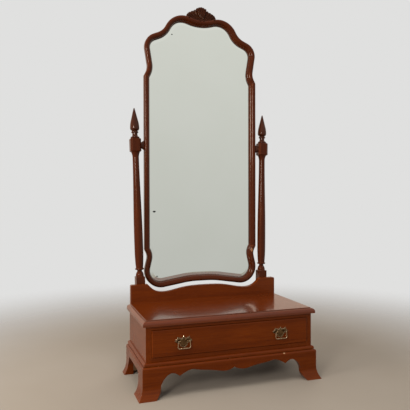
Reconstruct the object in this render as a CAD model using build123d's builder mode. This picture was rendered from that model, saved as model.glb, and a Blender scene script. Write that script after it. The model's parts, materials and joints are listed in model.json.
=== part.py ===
"""A floor-standing dressing mirror: a shaped mirror tilting between turned posts on a one-drawer base."""

import math
import os

from build123d import *

# Lengths are millimetres and angles degrees. +Z is up, the front faces -Y, and the floor is at zero.
SIDES = {"left": -1, "right": 1}

# Case: the box over its side boards, and its boards
CASE_WIDTH = 680.0
CASE_DEPTH = 316.0
CASE_FRONT_Y = -184.9
SIDE_THICK = 20.0
RAIL_THICK = 15.0
RAIL_DEPTH = 60.0
DRAWER_OPENING = 102.0
BACK_PANEL_THICK = 8.0
RUNNER_WIDTH = 45.0
KICKER_WIDTH = 35.0
DUST_PANEL_THICK = 5.0

# Top board, with an ovolo edge under a small step
TOP_THICK = 22.0
TOP_OVERHANG = 12.5
TOP_STEP = 3.0
TOP_STEP_INSET = 1.4
TOP_ARRIS = 1.5

# Base moulding: a mitred frame of strips between the plinth and the case
PLINTH_TOP_Z = 116.0
STRIP_THICK = 14.0
STRIP_WIDTH = 45.0
STRIP_OVERHANG = 9.0
STRIP_OVOLO = 8.0
STRIP_QUIRK = 2.0
STRIP_QUIRK_DEPTH = 4.0

# Plinth boards with bracket feet that flare out at the floor
PLINTH_THICK = 22.0
PLINTH_PROJECTION = 15.5
PLINTH_ROUND = 7.0
FOOT_FLARE = 16.5
FOOT_FLARE_HEIGHT = 50.0
# Shaped lower edge of the front board: places from the centre, and drops below the plinth's top
APRON_CUSP_DROP = 31.0
APRON_LOBE = (38.0, 42.5)
APRON_RISE = (80.0, 35.5)
APRON_ARCH = (150.0, 25.0)
# The rest of that edge: distances in from the case side, and drops
APRON_POINT = (123.5, 41.5)
FOOT_ARCH = (90.0, 29.0)
# The foot's inner edge: distances in from the case side, and the waist's height above the floor
FOOT_WAIST = (54.0, 48.0)
FOOT_TOE = 32.0
# Slopes of that edge where its curves meet
APRON_CUSP_SLOPE = 0.7
APRON_POINT_SLOPE = 0.6
FOOT_ARCH_SLOPE = 0.8
FOOT_TOE_SLOPE = 1.0
SIDE_ARCH_DROP = 34.0
SIDE_ARCH_ROUND = 20.0
SIDE_FOOT_DEPTH = 62.0
REAR_FOOT_DEPTH = 44.0
REAR_FOOT_WAIST = 40.0
REAR_FOOT_SPREAD = 26.0
REAR_BRACKET_WIDTH = 100.0
REAR_BRACKET_THICK = 20.0
REAR_BRACKET_DROP = 46.0
GLUE_BLOCK = 24.0
GLUE_BLOCK_LIFT = 15.0

# Drawer
DRAWER_GAP = 1.0
DRAWER_RUN_GAP = 0.4
DRAWER_PROUD = 5.0
DRAWER_FRONT_THICK = 20.0
DRAWER_EDGE_ROUND = 4.0
DRAWER_SIDE_THICK = 12.0
DRAWER_SIDE_HEIGHT = 88.0
DRAWER_BACK_DROP = 6.0
DRAWER_BACK_GAP = 10.0
DRAWER_BOTTOM_THICK = 5.0
DRAWER_BOTTOM_LIFT = 8.0
DRAWER_GROOVE = 6.0
STOP_LENGTH = 30.0
STOP_DEPTH = 12.0
STOP_HEIGHT = 6.0
STOP_X = 120.0
STOP_GAP = 0.3

# Bail handles: a shaped plate, two eye studs and a hanging bail
HANDLE_INSET = 120.0
PLATE_THICK = 1.6
PLATE_PEAK = 22.5
PLATE_DIP = (10.0, 13.0)
PLATE_HORN = (24.5, 19.5)
PLATE_WING = (33.5, 5.0)
PLATE_NOTCH = (25.0, -6.0)
PLATE_SHOULDER = (15.0, -14.0)
PLATE_FOOT = -21.0
PLATE_SCALLOP = 2.0
STUD_SPACING = 31.0
STUD_RISE = 4.5
STUD_BOLT = 4.0
STUD_COLLAR = 9.0
STUD_COLLAR_THICK = 1.6
STUD_NECK = 4.6
STUD_EYE = 7.6
STUD_REACH = 8.0
NUT_FLATS = 8.0
NUT_THICK = 3.2
BAIL_WIRE = 4.0
BAIL_PIN = 3.0
PIN_FIT = 0.05
BAIL_DROP = 27.0
BAIL_TOP_WIDTH = 44.0
BAIL_LOW_WIDTH = 48.0
BAIL_CORNER = 5.0
BAIL_KNUCKLE = 4.4
BAIL_PIN_REACH = 10.0

# Backboard behind the case: its shaped top is given by drops below its shoulders
BACKBOARD_INSET = 5.0
BACKBOARD_THICK = 22.0
BACKBOARD_RISE = 76.0
BACKBOARD_HEIGHT = 182.0
BACKBOARD_CORNER = 6.0
BACKBOARD_CROWN_DROP = 16.0
BACKBOARD_FLANK = (107.0, 23.0)
# The rest of that edge: distances in from the mirror's side, and drops
BACKBOARD_VALLEY = (69.0, 36.0)
BACKBOARD_SLOPE = (33.0, 27.0)
BACKBOARD_SHOULDER = 2.0
BACKBOARD_END_SLOPE = 1.0

# Posts: straight turnings that lean back and splay out, square at the foot and at the pivot.
# Heights are along the post, from the backboard's shoulder.
POST_SQUARE = 38.0
POST_RAKE = 2.0
POST_SPLAY = 1.4
POST_FOOT_CHAMFER = 1.5
POST_DROP = 165.0
POST_FOOT_TOP = 30.0
POST_FLARE = 34.5
POST_FLARE_THICK = 3.0
POST_NECK = 21.0
POST_NECK_HEIGHT = 52.0
POST_RING = 38.0
POST_RING_HEIGHT = 62.5
POST_RING_THICK = 8.0
POST_WAIST = 31.0
POST_SWELL = 37.5
POST_SWELL_LOW = 140.0
POST_SWELL_HIGH = 200.0
POST_SLIM = 27.5
POST_COLLAR = 40.0
POST_COLLAR_HEIGHT = 25.0
PIVOT_HEIGHT = 598.0
PIVOT_BLOCK = 57.0
PIVOT_SQUARE = 46.0
PIVOT_CORNER = 8.0
PIVOT_CHAMFER = 2.5

# Finials: heights from the top of the post
FINIAL_SHOULDER = 39.0
FINIAL_SHOULDER_THICK = 8.0
FINIAL_NECK = 22.5
FINIAL_NECK_HEIGHT = 17.0
FINIAL_BEAD = 31.0
FINIAL_BEAD_HEIGHT = 27.5
FINIAL_BEAD_THICK = 8.0
FINIAL_GROOVE = 25.0
FINIAL_GROOVE_HEIGHT = 34.0
FINIAL_BULB = 40.0
FINIAL_BULB_HEIGHT = 45.0
FINIAL_TAPER = 33.0
FINIAL_TAPER_HEIGHT = 75.0
FINIAL_TIP = 5.0
FINIAL_HEIGHT = 134.0
FINIAL_TENON = 12.0
FINIAL_TENON_LENGTH = 16.0

# Pivots: a steel pin in each post's block turns in a brass bush in the frame
PIVOT_PIN = 8.0
PIN_IN_POST = 26.0
PIN_CHAMFER = 0.6
SPOT_FACE = 26.0
SPOT_DEPTH = 1.2
WASHER = 20.0
WASHER_THICK = 2.0
WASHER_GAP = 0.3
BOSS_LENGTH = 14.0
BOSS_ROUND = 24.0
BOSS_HEIGHT = 43.0
BOSS_EDGE = 0.5
BORE_GAP = 0.4
BUSH = 14.0
BUSH_LENGTH = 15.0
BUSH_END_GAP = 1.0

# Mirror frame: a cushion moulding along a shaped outline, rebated at the back for the glass
FRAME_WIDTH = 26.0
FRAME_DEPTH = 26.0
FRAME_HALF = 264.0
FRAME_SIDE_DEPTH = 8.0
FRAME_CREST = 8.5
FRAME_SIGHT_DEPTH = 13.5
FRAME_SIGHT_BEAD = 3.0
FRAME_SIGHT_STEP = 1.0
FRAME_SIGHT_LIP = 2.0
REBATE_WIDTH = 7.0
GLASS_THICK = 4.0
GLASS_EDGE_GAP = 0.5
GLASS_BEVEL_WIDTH = 20.0
GLASS_BEVEL_DEPTH = 1.2
BACKING_THICK = 4.0
BACKING_INSET = 8.0
DOWEL = 8.0
DOWEL_LENGTH = 40.0

# Outline of the frame: heights above the backboard's shoulders. Its sides are straight from hip
# to shoulder; across the top and the bottom it follows corners that are rounded by their radii.
SHOULDER_RISE = 902.0
HIP_RISE = 143.0
TOP_RISE = 1167.0
LOW_DROP = 5.5
TOP_CORNERS = [
    (24.0, TOP_RISE),
    (129.0, TOP_RISE + 30.0),
    (178.5, TOP_RISE - 62.5),
    (FRAME_HALF + 4.0, TOP_RISE - 100.5),
    (FRAME_HALF - 17.0, SHOULDER_RISE + 33.0),
]
TOP_RADII = [150.0, 90.0, 75.0, 62.0, 60.0]
LOW_CORNERS = [
    (FRAME_HALF - 13.5, HIP_RISE - 27.0),
    (FRAME_HALF + 23.0, -LOW_DROP - 36.8),
    (54.0, -LOW_DROP),
]
LOW_RADII = [40.0, 75.0, 400.0]
# The most of a straight that the roundings at its two ends may take
ROUNDING_SHARE = 0.98

# Carved crest on the top of the frame: places from the centre, and heights above the frame
CREST_THICK = 18.0
CREST_SETBACK = 2.0
CREST_HEIGHT = 61.5
CREST_LOBES = [(69.0, 15.0), (64.5, 27.5), (51.0, 36.0), (38.0, 41.5), (26.0, 47.5), (16.5, 56.5)]
CREST_BULGE = 2.5
CREST_GROOVES = 9
CREST_GROOVE = 3.0
CREST_FAN = 60.0
CREST_FAN_DROP = 20.0
CREST_FAN_START = 34.0

# Fasteners
SCREW = 4.0
SCREW_HEAD = 8.0
SCREW_HEAD_THICK = 2.4
BOARD_SCREW_LENGTH = 45.0
BOARD_SCREW_EDGE = 25.0
BOARD_SCREW_SPACING = 180.0
POST_SCREW_BITE = 14.0
POST_SCREW_SINK = 6.0
POST_SCREW_DROPS = (30.0, 120.0)
TOP_SCREW_BITE = 12.0
TOP_SCREW_EDGE = 60.0
BACKING_SCREW = 3.0
BACKING_SCREW_HEAD = 6.0
BACKING_SCREW_HEAD_THICK = 1.6
BACKING_SCREW_BITE = 9.0
BACKING_SCREWS = 14

# Levels and faces worked out from the sizes above
half_case = CASE_WIDTH / 2
case_back_y = CASE_FRONT_Y + CASE_DEPTH
case_base_z = PLINTH_TOP_Z + STRIP_THICK
opening_low_z = case_base_z + RAIL_THICK
opening_high_z = opening_low_z + DRAWER_OPENING
top_under_z = opening_high_z + RAIL_THICK
top_z = top_under_z + TOP_THICK
half_opening = half_case - SIDE_THICK
rail_back_y = CASE_FRONT_Y + RAIL_DEPTH
panel_front_y = case_back_y - BACK_PANEL_THICK
backboard_back_y = case_back_y + BACKBOARD_THICK
shoulder_z = top_z + BACKBOARD_RISE

plinth_inner = half_case + PLINTH_PROJECTION - PLINTH_THICK
plinth_reach = PLINTH_PROJECTION + FOOT_FLARE

drawer_face_y = CASE_FRONT_Y - DRAWER_PROUD
drawer_front_back_y = drawer_face_y + DRAWER_FRONT_THICK
drawer_end_y = panel_front_y - DRAWER_BACK_GAP
half_drawer = half_opening - DRAWER_GAP
drawer_low_z = opening_low_z + DRAWER_RUN_GAP
drawer_side_top_z = drawer_low_z + DRAWER_SIDE_HEIGHT
drawer_bottom_z = drawer_low_z + DRAWER_BOTTOM_LIFT
drawer_mid_z = (opening_low_z + opening_high_z) / 2
inside_drawer = half_drawer - DRAWER_SIDE_THICK

handle_x = half_drawer - HANDLE_INSET
plate_front_y = drawer_face_y - PLATE_THICK
stud_y = plate_front_y - STUD_REACH
stud_z = drawer_mid_z + STUD_RISE

rake_slope = math.tan(math.radians(POST_RAKE))
splay_slope = math.tan(math.radians(POST_SPLAY))
boss_end_x = FRAME_HALF + BOSS_LENGTH
spot_x = boss_end_x + WASHER_GAP + WASHER_THICK
pivot_x = spot_x - SPOT_DEPTH + PIVOT_SQUARE / 2
post_foot_x = pivot_x - PIVOT_HEIGHT * splay_slope
post_foot_y = backboard_back_y + POST_SQUARE / 2
pivot_y = post_foot_y + PIVOT_HEIGHT * rake_slope
pivot_z = shoulder_z + PIVOT_HEIGHT
pivot_block_low = PIVOT_HEIGHT - PIVOT_BLOCK / 2
pivot_block_top = PIVOT_HEIGHT + PIVOT_BLOCK / 2
frame_front_y = pivot_y - (FRAME_SIDE_DEPTH + FRAME_DEPTH) / 2
frame_back_y = frame_front_y + FRAME_DEPTH
backing_back_y = frame_back_y + BACKING_THICK
rebate_inset = FRAME_WIDTH - REBATE_WIDTH

# Planes that several pieces are drawn on
front_section = Plane(origin=(0, CASE_FRONT_Y, 0), x_dir=(0, -1, 0), z_dir=(-1, 0, 0))
front_view = Plane(origin=(0, CASE_FRONT_Y, 0), x_dir=(1, 0, 0), z_dir=(0, -1, 0))


def save(piece, name):
    """Label a finished piece and write it under its own name."""
    piece.part.label = name
    export_step(piece.part, f"parts/{name}.step")


def plank(x, y, z):
    """A straight board between two limits along each axis."""
    with BuildSketch(Plane.XY.offset(z[0])) as section:
        with Locations(((x[0] + x[1]) / 2, (y[0] + y[1]) / 2)):
            Rectangle(x[1] - x[0], y[1] - y[0])
    extrude(section.sketch, amount=z[1] - z[0])


def on_side(side, inner, outer):
    """Limits along X of a piece on one side, from its distances from the centre."""
    return sorted((side * inner, side * outer))


def rod(plane, diameter, length, mode=Mode.ADD):
    """A round rod that starts on a plane and runs along its normal."""
    with Locations(plane):
        Cylinder(diameter / 2, length, align=(Align.CENTER, Align.CENTER, Align.MIN), mode=mode)


def countersunk_screw(head, direction, length):
    """One screw with its flat head at a point, running along a direction."""
    plane = Plane(origin=head, z_dir=direction)
    rod(plane, SCREW, length)
    with Locations(plane):
        Cone(
            SCREW_HEAD / 2,
            SCREW / 2,
            SCREW_HEAD_THICK,
            align=(Align.CENTER, Align.CENTER, Align.MIN),
        )


def mitre_plane(side):
    """The upright plane at 45 degrees through a front corner of the base, facing the side board."""
    return Plane(origin=(side * half_case, CASE_FRONT_Y, 0), z_dir=(side, 1, 0))


def side_section(side):
    """A plane across a side of the base: its X points outward from the case, its Y is up."""
    return Plane(origin=(side * half_case, case_back_y, 0), x_dir=(side, 0, 0), z_dir=(0, -side, 0))


def plinth_section():
    """Section of a plinth board: rounded at its top edge and flared out at the floor."""
    inner = PLINTH_PROJECTION - PLINTH_THICK
    flare_top = (PLINTH_PROJECTION, FOOT_FLARE_HEIGHT)
    round_low = (PLINTH_PROJECTION, PLINTH_TOP_Z - PLINTH_ROUND)
    round_top = (PLINTH_PROJECTION - PLINTH_ROUND, PLINTH_TOP_Z)
    with BuildLine() as outline:
        TangentArc(flare_top, (plinth_reach, 0), tangent=(0, -1))
        Polyline((plinth_reach, 0), (inner, 0), (inner, PLINTH_TOP_Z), round_top)
        TangentArc(round_top, round_low, tangent=(1, 0))
        Line(round_low, flare_top)
    make_face(outline.edges())


def strip_section():
    """Section of a base moulding strip: an ovolo over a small quirk."""
    inner = STRIP_OVERHANG - STRIP_WIDTH
    quirk_x = STRIP_OVERHANG - STRIP_QUIRK_DEPTH
    quirk_z = PLINTH_TOP_Z + STRIP_QUIRK
    ovolo_low = (STRIP_OVERHANG, case_base_z - STRIP_OVOLO)
    ovolo_top = (STRIP_OVERHANG - STRIP_OVOLO, case_base_z)
    with BuildLine() as outline:
        Polyline(ovolo_top, (inner, case_base_z), (inner, PLINTH_TOP_Z), (quirk_x, PLINTH_TOP_Z))
        Polyline((quirk_x, PLINTH_TOP_Z), (quirk_x, quirk_z), (STRIP_OVERHANG, quirk_z), ovolo_low)
        TangentArc(ovolo_low, ovolo_top, tangent=(0, 1))
    make_face(outline.edges())


def post_axis(z):
    """Distance from the centre and depth of a post's axis at a height above the floor."""
    rise = z - shoulder_z
    return post_foot_x + rise * splay_slope, post_foot_y + rise * rake_slope


def post_plane(side, height):
    """A plane square to a post's axis, at a height along it."""
    foot = Plane(
        origin=(side * post_foot_x, post_foot_y, shoulder_z),
        x_dir=(1, 0, -side * splay_slope),
        z_dir=(side * splay_slope, rake_slope, 1),
    )
    return foot.offset(height)


def turning_plane(side, height):
    """A plane through a post's axis: the radius runs along its X and the axis along its Y."""
    square = post_plane(side, height)
    return Plane(origin=square.origin, x_dir=square.x_dir, z_dir=-square.y_dir)


def post_line(side):
    """The axis that a post and its finial are turned about."""
    square = post_plane(side, 0)
    return Axis(square.origin, square.z_dir)


def pivot_plane(side, x, facing):
    """A plane square to the pivot axis, at a distance from the centre, facing out or in."""
    return Plane(
        origin=(side * x, pivot_y, pivot_z),
        x_dir=(0, 1, 0),
        z_dir=(side * facing, 0, 0),
    )


OUT, IN = 1, -1


def raised(points):
    """Points given by heights above the backboard's shoulders, as heights above the floor."""
    return [(x, shoulder_z + rise) for x, rise in points]


def to_left(points):
    """Points of a right half as those of the left half, in the opposite order."""
    return [(-x, z) for x, z in reversed(points)]


def fitted(route, radii):
    """Radii for the corners of a route, each limited by the straights beside its corner."""
    runs = [Vector(*end) - Vector(*start) for start, end in zip(route, route[1:])]
    half_turns = [math.radians(run.get_angle(after) / 2) for run, after in zip(runs, runs[1:])]
    taken = [0, *(radius * math.tan(turn) for radius, turn in zip(radii, half_turns)), 0]
    shares = [
        min(1, run.length * ROUNDING_SHARE / (start + end))
        for run, start, end in zip(runs, taken, taken[1:])
    ]
    return [radius * min(pair) for radius, pair in zip(radii, zip(shares, shares[1:]))]


top_half = raised(TOP_CORNERS + [(FRAME_HALF, SHOULDER_RISE)])
low_half = raised([(FRAME_HALF, HIP_RISE)] + LOW_CORNERS)
top_route = to_left(top_half) + top_half
low_route = low_half + to_left(low_half)
top_radii = fitted(top_route, TOP_RADII[::-1] + TOP_RADII)
low_radii = fitted(low_route, LOW_RADII + LOW_RADII[::-1])


def frame_view(y):
    """A plane facing the front at a depth, with its X along X and its Y up."""
    return Plane(origin=(0, y, 0), x_dir=(1, 0, 0), z_dir=(0, -1, 0))


def frame_section():
    """Section of the mirror frame: X runs in from the outer edge, Y runs back from the front."""
    bead_x = FRAME_WIDTH - FRAME_SIGHT_BEAD
    bead_y = FRAME_SIGHT_DEPTH - FRAME_SIGHT_STEP
    rebate_y = FRAME_DEPTH - GLASS_THICK
    with BuildLine() as outline:
        TangentArc((FRAME_CREST, 0), (0, FRAME_SIDE_DEPTH), tangent=(-1, 0))
        TangentArc((FRAME_CREST, 0), (bead_x, bead_y), tangent=(1, 0))
        Polyline(
            (bead_x, bead_y),
            (bead_x, FRAME_SIGHT_DEPTH),
            (FRAME_WIDTH, rebate_y - FRAME_SIGHT_LIP),
            (FRAME_WIDTH, rebate_y),
            (rebate_inset, rebate_y),
            (rebate_inset, FRAME_DEPTH),
            (0, FRAME_DEPTH),
            (0, FRAME_SIDE_DEPTH),
        )
    make_face(outline.edges())


def section_plane(start, heading):
    """A plane for the frame's section at a point of a route, which heads clockwise."""
    return Plane(origin=start, x_dir=(heading.Z, 0, -heading.X), z_dir=heading)


def joint_plane(side, corner, neighbour):
    """The mitre between a stile and a shaped rail, facing along the stile from its corner."""
    rail = (Vector(*corner) - Vector(*neighbour)).normalized()
    stile = Vector(0, math.copysign(1, rail.Y))
    facing = rail + stile
    return Plane(origin=(side * corner[0], frame_front_y, corner[1]), z_dir=(side * facing.X, 0, facing.Y))


def joint_middle(side, corner, neighbour):
    """A plane in the same mitre as joint_plane, with its origin in the middle of the wood."""
    plane = joint_plane(side, corner, neighbour)
    facing = plane.z_dir
    inward = Vector(-side * abs(facing.Z), 0, math.copysign(facing.X, facing.Z * facing.X * side))
    reach = FRAME_WIDTH / 2 / abs(facing.Z)
    middle = plane.origin + inward * reach + Vector(0, FRAME_DEPTH / 2, 0)
    return Plane(origin=middle, z_dir=facing)


def carried_on(end, before):
    """A point straight past the end of a route, at the width of the frame."""
    past = Vector(*end) + (Vector(*end) - Vector(*before)).normalized() * FRAME_WIDTH
    return past.X, past.Y


def run_past(route):
    """A route with both ends carried straight on, so that its ends can be mitred."""
    return [carried_on(route[0], route[1])] + route[1:-1] + [carried_on(route[-1], route[-2])]


def frame_outline(inset):
    """The outline of the whole mirror, drawn in by a distance from the frame's outer edge."""
    with BuildLine() as outline:
        FilletPolyline(top_route, radius=top_radii)
        Line(top_route[-1], low_route[0])
        FilletPolyline(low_route, radius=low_radii)
        Line(low_route[-1], top_route[0])
    make_face(outline.edges())
    if inset > 0:
        offset(amount=-inset, kind=Kind.INTERSECTION, mode=Mode.REPLACE)


os.makedirs("parts", exist_ok=True)

# Screws through the backboard into the case sides and the edge of the top
with BuildPart() as backboard_screws:
    for side in SIDES.values():
        for z in (shoulder_z - BACKBOARD_HEIGHT + BOARD_SCREW_EDGE, top_under_z - BOARD_SCREW_EDGE):
            head = (side * (half_case - SIDE_THICK / 2), backboard_back_y, z)
            countersunk_screw(head, (0, -1, 0), BOARD_SCREW_LENGTH)
    for x in (-BOARD_SCREW_SPACING, 0, BOARD_SCREW_SPACING):
        countersunk_screw((x, backboard_back_y, top_z - TOP_THICK / 2), (0, -1, 0), BOARD_SCREW_LENGTH)
save(backboard_screws, "backboard_screws")

# Screws through the kickers and the top rail up into the top
with BuildPart() as top_screws:
    kicker_mid = half_opening - KICKER_WIDTH / 2
    for x in (-kicker_mid, kicker_mid):
        for y in (rail_back_y + TOP_SCREW_EDGE, panel_front_y - TOP_SCREW_EDGE):
            countersunk_screw((x, y, opening_high_z), (0, 0, 1), RAIL_THICK + TOP_SCREW_BITE)
    for x in (-BOARD_SCREW_SPACING, BOARD_SCREW_SPACING):
        head = (x, CASE_FRONT_Y + RAIL_DEPTH / 2, opening_high_z)
        countersunk_screw(head, (0, 0, 1), RAIL_THICK + TOP_SCREW_BITE)
save(top_screws, "top_screws")

# Screws from behind each post into the backboard, sunk below the post's back
post_screw_heads = []
for side in SIDES.values():
    for drop in POST_SCREW_DROPS:
        screw_z = shoulder_z - drop
        axis_x, axis_y = post_axis(screw_z)
        post_screw_heads.append((side * axis_x, axis_y + POST_SQUARE / 2 - POST_SCREW_SINK, screw_z))
with BuildPart() as post_screws:
    for head in post_screw_heads:
        countersunk_screw(head, (0, -1, 0), head[1] - backboard_back_y + POST_SCREW_BITE)
save(post_screws, "post_screws")

# Screws that hold the backing board, evenly spaced around the frame
with BuildSketch(frame_view(backing_back_y)) as screw_ring:
    frame_outline((BACKING_INSET + rebate_inset) / 2)
ring_wire = screw_ring.sketch.faces()[0].outer_wire()
with BuildPart() as backing_screws:
    for index in range(BACKING_SCREWS):
        place = Plane(origin=ring_wire @ ((index + 0.5) / BACKING_SCREWS), z_dir=(0, -1, 0))
        rod(place, BACKING_SCREW, BACKING_THICK + BACKING_SCREW_BITE)
        with Locations(place):
            Cylinder(
                BACKING_SCREW_HEAD / 2,
                BACKING_SCREW_HEAD_THICK,
                align=(Align.CENTER, Align.CENTER, Align.MAX),
            )
save(backing_screws, "backing_screws")

# Plinth front: an apron with a shaped lower edge between two flared bracket feet
with BuildPart() as plinth_front:
    with BuildSketch(front_section):
        plinth_section()
    extrude(amount=half_case + plinth_reach, both=True)
    for side in SIDES.values():
        split(bisect_by=mitre_plane(side), keep=Keep.BOTTOM)
    with BuildSketch(front_view):
        point = (half_case - APRON_POINT[0], PLINTH_TOP_Z - APRON_POINT[1])
        toe = (half_case - FOOT_TOE, 0)
        below = -PLINTH_ROUND
        with BuildLine():
            Spline(
                (0, PLINTH_TOP_Z - APRON_CUSP_DROP),
                (APRON_LOBE[0], PLINTH_TOP_Z - APRON_LOBE[1]),
                (APRON_RISE[0], PLINTH_TOP_Z - APRON_RISE[1]),
                (APRON_ARCH[0], PLINTH_TOP_Z - APRON_ARCH[1]),
                point,
                tangents=((1, -APRON_CUSP_SLOPE), (1, -APRON_POINT_SLOPE)),
            )
            Spline(
                point,
                (half_case - FOOT_ARCH[0], PLINTH_TOP_Z - FOOT_ARCH[1]),
                (half_case - FOOT_WAIST[0], FOOT_WAIST[1]),
                toe,
                tangents=((1, FOOT_ARCH_SLOPE), (1, -FOOT_TOE_SLOPE)),
            )
            Polyline(toe, (toe[0], below), (0, below), (0, PLINTH_TOP_Z - APRON_CUSP_DROP))
        make_face()
        mirror(about=Plane.YZ)
    extrude(amount=CASE_DEPTH / 2, both=True, mode=Mode.SUBTRACT)
save(plinth_front, "plinth_front")

# Plinth sides, mitred to the front, each with half a front foot and a rear foot
for name, side in SIDES.items():
    with BuildPart() as plinth_side:
        with BuildSketch(side_section(side)):
            plinth_section()
        extrude(amount=CASE_DEPTH + plinth_reach, dir=(0, -1, 0))
        split(bisect_by=mitre_plane(side), keep=Keep.TOP)
        with BuildSketch(Plane(origin=(side * half_case, 0, 0), x_dir=(0, 1, 0), z_dir=(1, 0, 0))):
            front_foot = CASE_FRONT_Y + SIDE_FOOT_DEPTH
            rear_foot = case_back_y - REAR_FOOT_DEPTH
            arch_z = PLINTH_TOP_Z - SIDE_ARCH_DROP
            with BuildLine():
                FilletPolyline(
                    (front_foot, -PLINTH_ROUND),
                    (front_foot, arch_z),
                    (rear_foot - REAR_FOOT_SPREAD, arch_z),
                    (rear_foot, REAR_FOOT_WAIST),
                    (rear_foot, -PLINTH_ROUND),
                    radius=SIDE_ARCH_ROUND,
                )
                Line((rear_foot, -PLINTH_ROUND), (front_foot, -PLINTH_ROUND))
            make_face()
        extrude(amount=plinth_reach * 2, both=True, mode=Mode.SUBTRACT)
    save(plinth_side, f"plinth_{name}")

# Brackets across the back of the rear feet
for name, side in SIDES.items():
    with BuildPart() as rear_bracket:
        with BuildSketch(frame_view(case_back_y)):
            outer = side * plinth_inner
            foot = side * (plinth_inner - REAR_FOOT_DEPTH)
            inner = side * (plinth_inner - REAR_BRACKET_WIDTH)
            low_z = PLINTH_TOP_Z - REAR_BRACKET_DROP
            with BuildLine():
                FilletPolyline((foot, 0), (foot, low_z), (inner, low_z), radius=SIDE_ARCH_ROUND)
                Polyline((inner, low_z), (inner, PLINTH_TOP_Z), (outer, PLINTH_TOP_Z), (outer, 0), (foot, 0))
            make_face()
        extrude(amount=REAR_BRACKET_THICK)
    save(rear_bracket, f"rear_bracket_{name}")

# Glue blocks in the corners of the four feet, clear of the floor
with BuildPart() as foot_glue_blocks:
    front_y = CASE_FRONT_Y + PLINTH_THICK - PLINTH_PROJECTION
    rear_y = case_back_y - REAR_BRACKET_THICK
    for side in SIDES.values():
        for y in ((front_y, front_y + GLUE_BLOCK), (rear_y - GLUE_BLOCK, rear_y)):
            plank(on_side(side, plinth_inner - GLUE_BLOCK, plinth_inner), y, (GLUE_BLOCK_LIFT, PLINTH_TOP_Z))
save(foot_glue_blocks, "foot_glue_blocks")

# Base moulding: front and side strips with a moulded edge, and a plain strip at the back
with BuildPart() as base_moulding_front:
    with BuildSketch(front_section):
        strip_section()
    extrude(amount=half_case + plinth_reach, both=True)
    for side in SIDES.values():
        split(bisect_by=mitre_plane(side), keep=Keep.BOTTOM)
save(base_moulding_front, "base_moulding_front")

for name, side in SIDES.items():
    with BuildPart() as base_moulding_side:
        with BuildSketch(side_section(side)):
            strip_section()
        extrude(amount=CASE_DEPTH + plinth_reach, dir=(0, -1, 0))
        split(bisect_by=mitre_plane(side), keep=Keep.TOP)
    save(base_moulding_side, f"base_moulding_{name}")

with BuildPart() as base_strip_rear:
    strip_end = half_case + STRIP_OVERHANG - STRIP_WIDTH
    plank((-strip_end, strip_end), (case_back_y - STRIP_WIDTH, case_back_y), (PLINTH_TOP_Z, case_base_z))
save(base_strip_rear, "base_strip_rear")

# Case sides and back panel
for name, side in SIDES.items():
    with BuildPart() as case_side:
        plank(on_side(side, half_opening, half_case), (CASE_FRONT_Y, case_back_y), (case_base_z, top_under_z))
        add(backboard_screws.part, mode=Mode.SUBTRACT)
    save(case_side, f"case_side_{name}")

with BuildPart() as case_back_panel:
    plank((-half_opening, half_opening), (panel_front_y, case_back_y), (case_base_z, top_under_z))
save(case_back_panel, "case_back_panel")

# Rails across the front, and the runners, kickers and dust panel behind them
with BuildPart() as bottom_rail:
    plank((-half_opening, half_opening), (CASE_FRONT_Y, rail_back_y), (case_base_z, opening_low_z))
save(bottom_rail, "bottom_rail")

with BuildPart() as top_rail:
    plank((-half_opening, half_opening), (CASE_FRONT_Y, rail_back_y), (opening_high_z, top_under_z))
    add(top_screws.part, mode=Mode.SUBTRACT)
save(top_rail, "top_rail")

for name, side in SIDES.items():
    with BuildPart() as drawer_runner:
        runner_x = on_side(side, half_opening - RUNNER_WIDTH, half_opening)
        plank(runner_x, (rail_back_y, panel_front_y), (case_base_z, opening_low_z))
    save(drawer_runner, f"drawer_runner_{name}")

for name, side in SIDES.items():
    with BuildPart() as kicker:
        kicker_x = on_side(side, half_opening - KICKER_WIDTH, half_opening)
        plank(kicker_x, (rail_back_y, panel_front_y), (opening_high_z, top_under_z))
        add(top_screws.part, mode=Mode.SUBTRACT)
    save(kicker, f"kicker_{name}")

with BuildPart() as dust_panel:
    dust_half = half_opening - RUNNER_WIDTH
    dust_mid_z = (case_base_z + opening_low_z) / 2
    dust_z = (dust_mid_z - DUST_PANEL_THICK / 2, dust_mid_z + DUST_PANEL_THICK / 2)
    plank((-dust_half, dust_half), (rail_back_y, panel_front_y), dust_z)
save(dust_panel, "dust_panel")

with BuildPart() as drawer_stops:
    stop_y = drawer_front_back_y + STOP_GAP
    for side in SIDES.values():
        stop_x = on_side(side, STOP_X, STOP_X + STOP_LENGTH)
        plank(stop_x, (stop_y, stop_y + STOP_DEPTH), (opening_low_z, opening_low_z + STOP_HEIGHT))
save(drawer_stops, "drawer_stops")

# Top board: an ovolo on the front and both ends, stepped back under the upper surface
with BuildPart() as top_board:
    lip_x = half_case + TOP_OVERHANG
    plank((-lip_x, lip_x), (CASE_FRONT_Y - TOP_OVERHANG, case_back_y), (top_under_z, top_z - TOP_STEP))
    fillet(top_board.faces().sort_by(Axis.Z)[-1].edges().sort_by(Axis.Y)[:-1], TOP_OVERHANG)
    step_x = half_case - TOP_STEP_INSET
    plank((-step_x, step_x), (CASE_FRONT_Y + TOP_STEP_INSET, case_back_y), (top_z - TOP_STEP, top_z))
    fillet(top_board.faces().sort_by(Axis.Z)[-1].edges().sort_by(Axis.Y)[:-1], TOP_ARRIS)
    add(top_screws.part, mode=Mode.SUBTRACT)
    add(backboard_screws.part, mode=Mode.SUBTRACT)
save(top_board, "top_board")

# Drawer bottom, let into grooves in the front and the sides, under the drawer's back
with BuildPart() as drawer_bottom:
    bottom_x = inside_drawer + DRAWER_GROOVE
    plank(
        (-bottom_x, bottom_x),
        (drawer_front_back_y - DRAWER_GROOVE, drawer_end_y),
        (drawer_bottom_z, drawer_bottom_z + DRAWER_BOTTOM_THICK),
    )
save(drawer_bottom, "drawer_bottom")

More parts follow.
